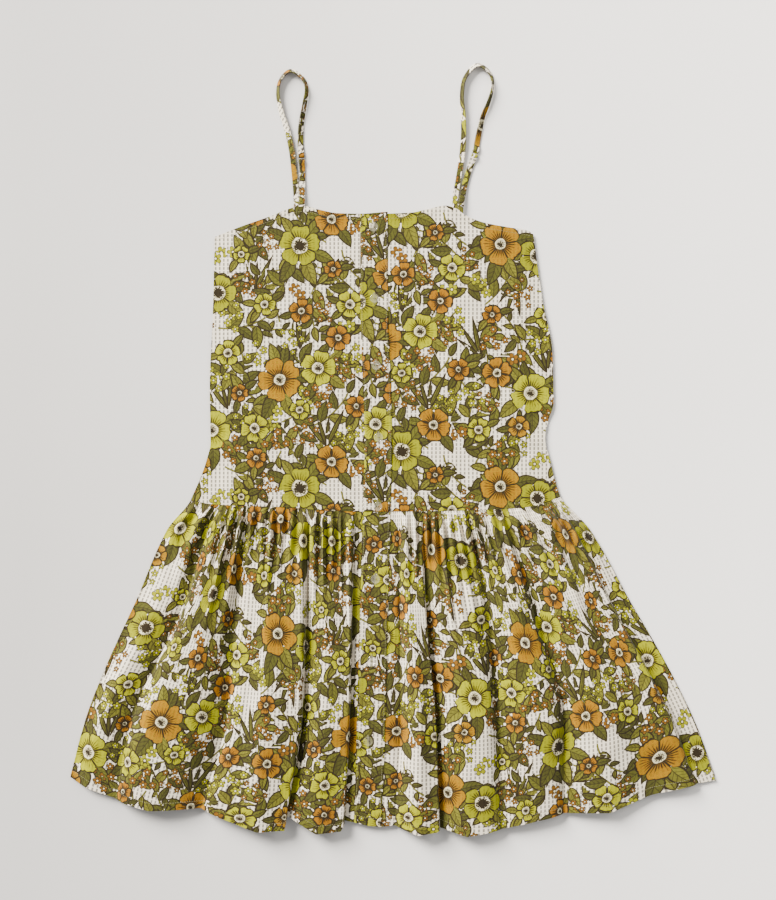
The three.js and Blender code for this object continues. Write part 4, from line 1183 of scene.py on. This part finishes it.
def ribbon(name, route, width, thickness, start, turn):
    points, along = smooth_route(route, 260)
    points[:, 3] = np.clip(points[:, 3], 0, None)
    ahead = np.gradient(points[:, :2], axis=0)
    ahead /= np.linalg.norm(ahead, axis=1, keepdims=True)
    side = np.stack([ahead[:, 1], -ahead[:, 0], 0 * along], -1)
    roll = np.radians(np.clip(points[:, 2], 0, None))[:, None]
    up = np.array([0, 0, 1.0])
    wide = side * np.cos(roll) + up * np.sin(roll)
    thick = -side * np.sin(roll) + up * np.cos(roll)
    lift = (width * np.sin(roll) + thickness * np.cos(roll))[:, 0] / 2
    middle = np.column_stack([points[:, :2], points[:, 3] + lift])
    # A folded strip is thicker along its middle than at its two pressed edges
    across = np.linspace(-1, 1, 11)
    body = thickness / 2 * (0.62 + 0.38 * np.sqrt(1 - across**2))
    lane = middle[:, None] + wide[:, None] * (across * width / 2)[None, :, None]
    bulk = thick[:, None] * body[None, :, None]
    flat = np.stack(np.broadcast_arrays((across * width / 2)[None, :], -along[:, None]), -1)
    outer, inner, flat = (lane + bulk)[:, ::-1], (lane - bulk)[:, ::-1], flat[:, ::-1]
    made = shell(name, outer, inner, flat, start=start, turn=turn, flip=True)
    seam, beside = (lane[:, i] + bulk[:, i] for i in (-2, -3))
    laid_threads("stitching_" + name, *stitches(seam, beside), STITCH["width"], STITCH["height"])


for name, route, thickness, start, turn in [
    ("strap_right", RIGHT_STRAP, 1.3, (240, 40), 120),
    ("strap_left", LEFT_STRAP, 1.3, (160, 208), 0),
    ("strap_tail_right", RIGHT_TAIL, 1.6, (16, 184), 150),
    ("strap_tail_left", LEFT_TAIL, 1.6, (152, 176), 90),
]:
    ribbon(name, route, STRAP_WIDTH, thickness, start, turn)


# The sliders
# Small figure-of-eight sliders of clear moulded acetal, one on each strap, that shorten it. They stay where
# the photo shows them, where each strap meets its tail.
def clear_resin(name, tint, roughness, refraction, body):
    """A clear plastic whose thin body only veils what lies under it, with a moulded or polished skin."""
    made = bpy.data.materials.new(name)
    made.use_nodes = True
    tree = made.node_tree
    shader = tree.nodes["Principled BSDF"]
    # Flow marks from the mould, 1 to 2 mm long
    swirl = put(tree, "TexNoise", at={0: put(tree, "TexCoord", out=3), 2: 700.0, 3: 2})
    shade = put(tree, "Math", swirl, 0.16, 0.92, operation="MULTIPLY_ADD")
    grey = put(tree, "CombineColor", shade, shade, shade)
    tones = {0: 1.0, 6: linear(tint), 7: grey}
    colour = put(tree, "Mix", at=tones, out=2, data_type="RGBA", blend_type="MULTIPLY")
    tree.links.new(colour, shader.inputs["Base Color"])
    bump = put(tree, "Bump", at={"Strength": 0.1, "Distance": 0.00005, "Height": swirl})
    tree.links.new(bump, shader.inputs["Normal"])
    shader.inputs["Roughness"].default_value = roughness
    shader.inputs["IOR"].default_value = refraction
    shader.inputs["Alpha"].default_value = body
    shader.inputs["Coat Weight"].default_value = 1.0
    shader.inputs["Coat Roughness"].default_value = roughness
    return made


acetal = clear_resin("clear_moulded_acetal", "#b3b0a2", 0.2, 1.49, 0.3)
SLIDER = dict(width=9.6, length=8.4, thickness=1.4, rail=1.0)
for name, (sx, sy), turn in [
    ("strap_slider_right", (-88.2, 423.3), 4),
    ("strap_slider_left", (120.1, 429.1), -14),
]:
    w, l, r = SLIDER["width"] / 2, SLIDER["length"] / 2, SLIDER["rail"]
    xs = [-w, -w + r, w - r, w]
    ys = [-l, -l + r, -r / 2, r / 2, l - r, l]
    form = bmesh.new()
    lower = [[form.verts.new((x, y, 0)) for y in ys] for x in xs]
    for i in range(3):
        for j in range(5):
            if i != 1 or j in (0, 2, 4):
                form.faces.new([lower[i][j], lower[i + 1][j], lower[i + 1][j + 1], lower[i][j + 1]])
    raised = bmesh.ops.extrude_face_region(form, geom=form.faces[:])
    tops = [v for v in raised["geom"] if isinstance(v, bmesh.types.BMVert)]
    bmesh.ops.translate(form, vec=(0, 0, SLIDER["thickness"]), verts=tops)
    bmesh.ops.recalc_face_normals(form, faces=form.faces[:])
    about = Matrix.Rotation(math.radians(turn), 3, "Z")
    bmesh.ops.rotate(form, verts=form.verts[:], cent=(0, 0, 0), matrix=about)
    for v in form.verts:
        v.co = (v.co + Vector((sx, sy, 0)) + to_frame) / 1000
    mesh = bpy.data.meshes.new(name)
    form.to_mesh(mesh)
    form.free()
    mesh.materials.append(acetal)
    made = bpy.data.objects.new(name, mesh)
    bpy.context.scene.collection.objects.link(made)
    rounded = made.modifiers.new("rounded", "BEVEL")
    rounded.width, rounded.segments = 0.00035, 3
    rounded.limit_method = "ANGLE"
    mesh.shade_smooth()
    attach(made, "root")
    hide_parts(name)


# The buttons
# Eight clear two-hole shirt buttons, 11 mm across, cast in polyester: a raised rounded rim round a dished
# face that lets the print show through. Each is sewn through its two holes with a few turns of the thread.
polyester = clear_resin("clear_cast_polyester", "#b5b19a", 0.06, 1.56, 0.13)
BUTTON = dict(radius=5.6, height=2.0, dish=0.75, hole=0.8, hole_away=1.4)


def button_mesh():
    r, h = BUTTON["radius"], BUTTON["height"]
    face = h - BUTTON["dish"]
    profile = [
        (0, 0), (0.72 * r, 0), (0.93 * r, 0.16 * h), (r, 0.45 * h), (r, 0.62 * h), (0.95 * r, 0.88 * h),
        (0.86 * r, h), (0.78 * r, 0.92 * h), (0.7 * r, face), (0.4 * r, face - 0.1), (0, face - 0.12),
    ]
    form = bmesh.new()
    sides = 48
    rings = []
    for radius, z in profile:
        if radius == 0:
            rings.append([form.verts.new((0, 0, z))])
        else:
            angles = [2 * math.pi * i / sides for i in range(sides)]
            rings.append([form.verts.new((radius * math.cos(a), radius * math.sin(a), z)) for a in angles])
    for below, above in zip(rings, rings[1:]):
        for i in range(sides):
            j = (i + 1) % sides
            corners = [ring[at % len(ring)] for ring, at in [(below, i), (below, j), (above, j), (above, i)]]
            form.faces.new(list(dict.fromkeys(corners)))
    bmesh.ops.recalc_face_normals(form, faces=form.faces[:])
    mesh = bpy.data.meshes.new("button")
    form.to_mesh(mesh)
    form.free()
    return mesh


def holed(mesh):
    """The button with its two holes cut through."""
    whole = bpy.data.objects.new("whole_button", mesh)
    bpy.context.scene.collection.objects.link(whole)
    for side in (-1, 1):
        form = bmesh.new()
        radius = BUTTON["hole"]
        bmesh.ops.create_cone(form, cap_ends=True, segments=20, radius1=radius, radius2=radius, depth=9)
        bmesh.ops.translate(form, verts=form.verts[:], vec=(side * BUTTON["hole_away"], 0, 0))
        cutter = bpy.data.objects.new("hole", bpy.data.meshes.new("hole"))
        form.to_mesh(cutter.data)
        form.free()
        bpy.context.scene.collection.objects.link(cutter)
        cut = whole.modifiers.new("hole", "BOOLEAN")
        cut.object, cut.operation, cut.solver = cutter, "DIFFERENCE", "EXACT"
    bpy.context.view_layer.update()
    done = bpy.data.meshes.new_from_object(whole.evaluated_get(bpy.context.evaluated_depsgraph_get()))
    for o in [whole, *(m.object for m in whole.modifiers)]:
        bpy.data.objects.remove(o)
    return done


button_form = holed(button_mesh())
for v in button_form.vertices:
    v.co /= 1000
button_form.materials.clear()
button_form.materials.append(polyester)
button_form.shade_smooth()
button_form.set_sharp_from_angle(angle=math.radians(38))
starts, ends = [], []
for i, (bx, by) in enumerate(BUTTONS):
    name = f"button_{i + 1}"
    made = bpy.data.objects.new(name, button_form)
    bpy.context.scene.collection.objects.link(made)
    low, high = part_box(name)
    made.location = ((low.x + high.x) / 2, (low.y + high.y) / 2, low.z)
    for turn_of_thread in (-0.3, 0, 0.3):
        for side, row in [(-1, starts), (1, ends)]:
            level = made.location * 1000 - to_frame + Vector((0, 0, BUTTON["height"] - BUTTON["dish"] - 0.1))
            row.append(level + Vector((side * BUTTON["hole_away"], turn_of_thread, 0)))
    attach(made, "root")
    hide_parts(name)


up = np.tile([0.0, 0.0, 1.0], (len(starts), 1))
laid_threads("button_threads", starts, ends, up, 0.42, 0.4)


# The surface, the light and the camera
# A pale matt surface under a broad soft light from beyond the straps, with the room's light all round, and
# the camera straight above the dress.
def pale_matt_paper():
    made = bpy.data.materials.new("pale_matt_paper")
    made.use_nodes = True
    shader = made.node_tree.nodes["Principled BSDF"]
    place = put(made.node_tree, "TexCoord", out=3)
    # Painted light: the paper is darker on the left and lighter on the right, standing in for the light's
    # fall-off across the surface, with soft cloudy patches over it
    across = put(made.node_tree, "Mapping", place, (0.42, 0.5, 0), None, (0.95, 0.15, 1))
    painted_falloff = put(made.node_tree, "TexGradient", across, out=1)
    cloud = put(made.node_tree, "TexNoise", at={0: place, 2: 1.5, 3: 2})
    painted_falloff = put(made.node_tree, "Math", cloud, 0.3, painted_falloff, operation="MULTIPLY_ADD")
    paper_with_painted_falloff = ink_over(made.node_tree, painted_falloff, linear("#aeacaa"), linear("#efedeb"))
    made.node_tree.links.new(paper_with_painted_falloff, shader.inputs["Base Color"])
    shader.inputs["Roughness"].default_value = 0.7
    shader.inputs["Specular IOR Level"].default_value = 0.2
    return made


REACH, BELOW = 4, 0.0004  # m, from the middle to each edge, and under the dress
floor_mesh = bpy.data.meshes.new("surface")
edges = [(x * REACH, y * REACH, -BELOW) for x, y in [(-1, -1), (1, -1), (1, 1), (-1, 1)]]
floor_mesh.from_pydata(edges, [], [(0, 1, 2, 3)])
floor_mesh.materials.append(pale_matt_paper())
floor = bpy.data.objects.new("surface", floor_mesh)
bpy.context.scene.collection.objects.link(floor)

world = bpy.data.worlds.new("room")
bpy.context.scene.world = world
world.use_nodes = True
world.node_tree.nodes["Background"].inputs[0].default_value = linear("#f4f3f1")
world.node_tree.nodes["Background"].inputs[1].default_value = 0.62
for name, place, size, power in [
    ("window", (-5.6, 5.8, 4.2), 4.2, 5200),
    ("lamp", (1.9, 1.7, 1.9), 1.6, 50),
]:
    light = bpy.data.lights.new(name, "AREA")
    light.size, light.energy = size, power
    light.color = linear("#fffaf2")[:3]
    made = bpy.data.objects.new(name, light)
    made.location = place
    made.rotation_euler = (Vector((0, -0.1, 0)) - Vector(place)).to_track_quat("-Z", "Y").to_euler()
    bpy.context.scene.collection.objects.link(made)

PIXEL = 1.2  # mm of the surface to a pixel of the photograph
PHOTO = (776, 900)
WAIST_PIXEL = (375.0, 511.5)
camera = bpy.data.cameras.new("camera")
camera.lens, camera.sensor_width = 50, 36
seen = PHOTO[1] * PIXEL / 1000
beside_waist = ((PHOTO[0] / 2 - WAIST_PIXEL[0]) * PIXEL, (WAIST_PIXEL[1] - PHOTO[1] / 2) * PIXEL, 0)
aim = Vector(beside_waist) + to_frame
eye = bpy.data.objects.new("camera", camera)
eye.location = (aim.x / 1000, aim.y / 1000, seen * camera.lens / camera.sensor_width)
bpy.context.scene.collection.objects.link(eye)
bpy.context.scene.camera = eye
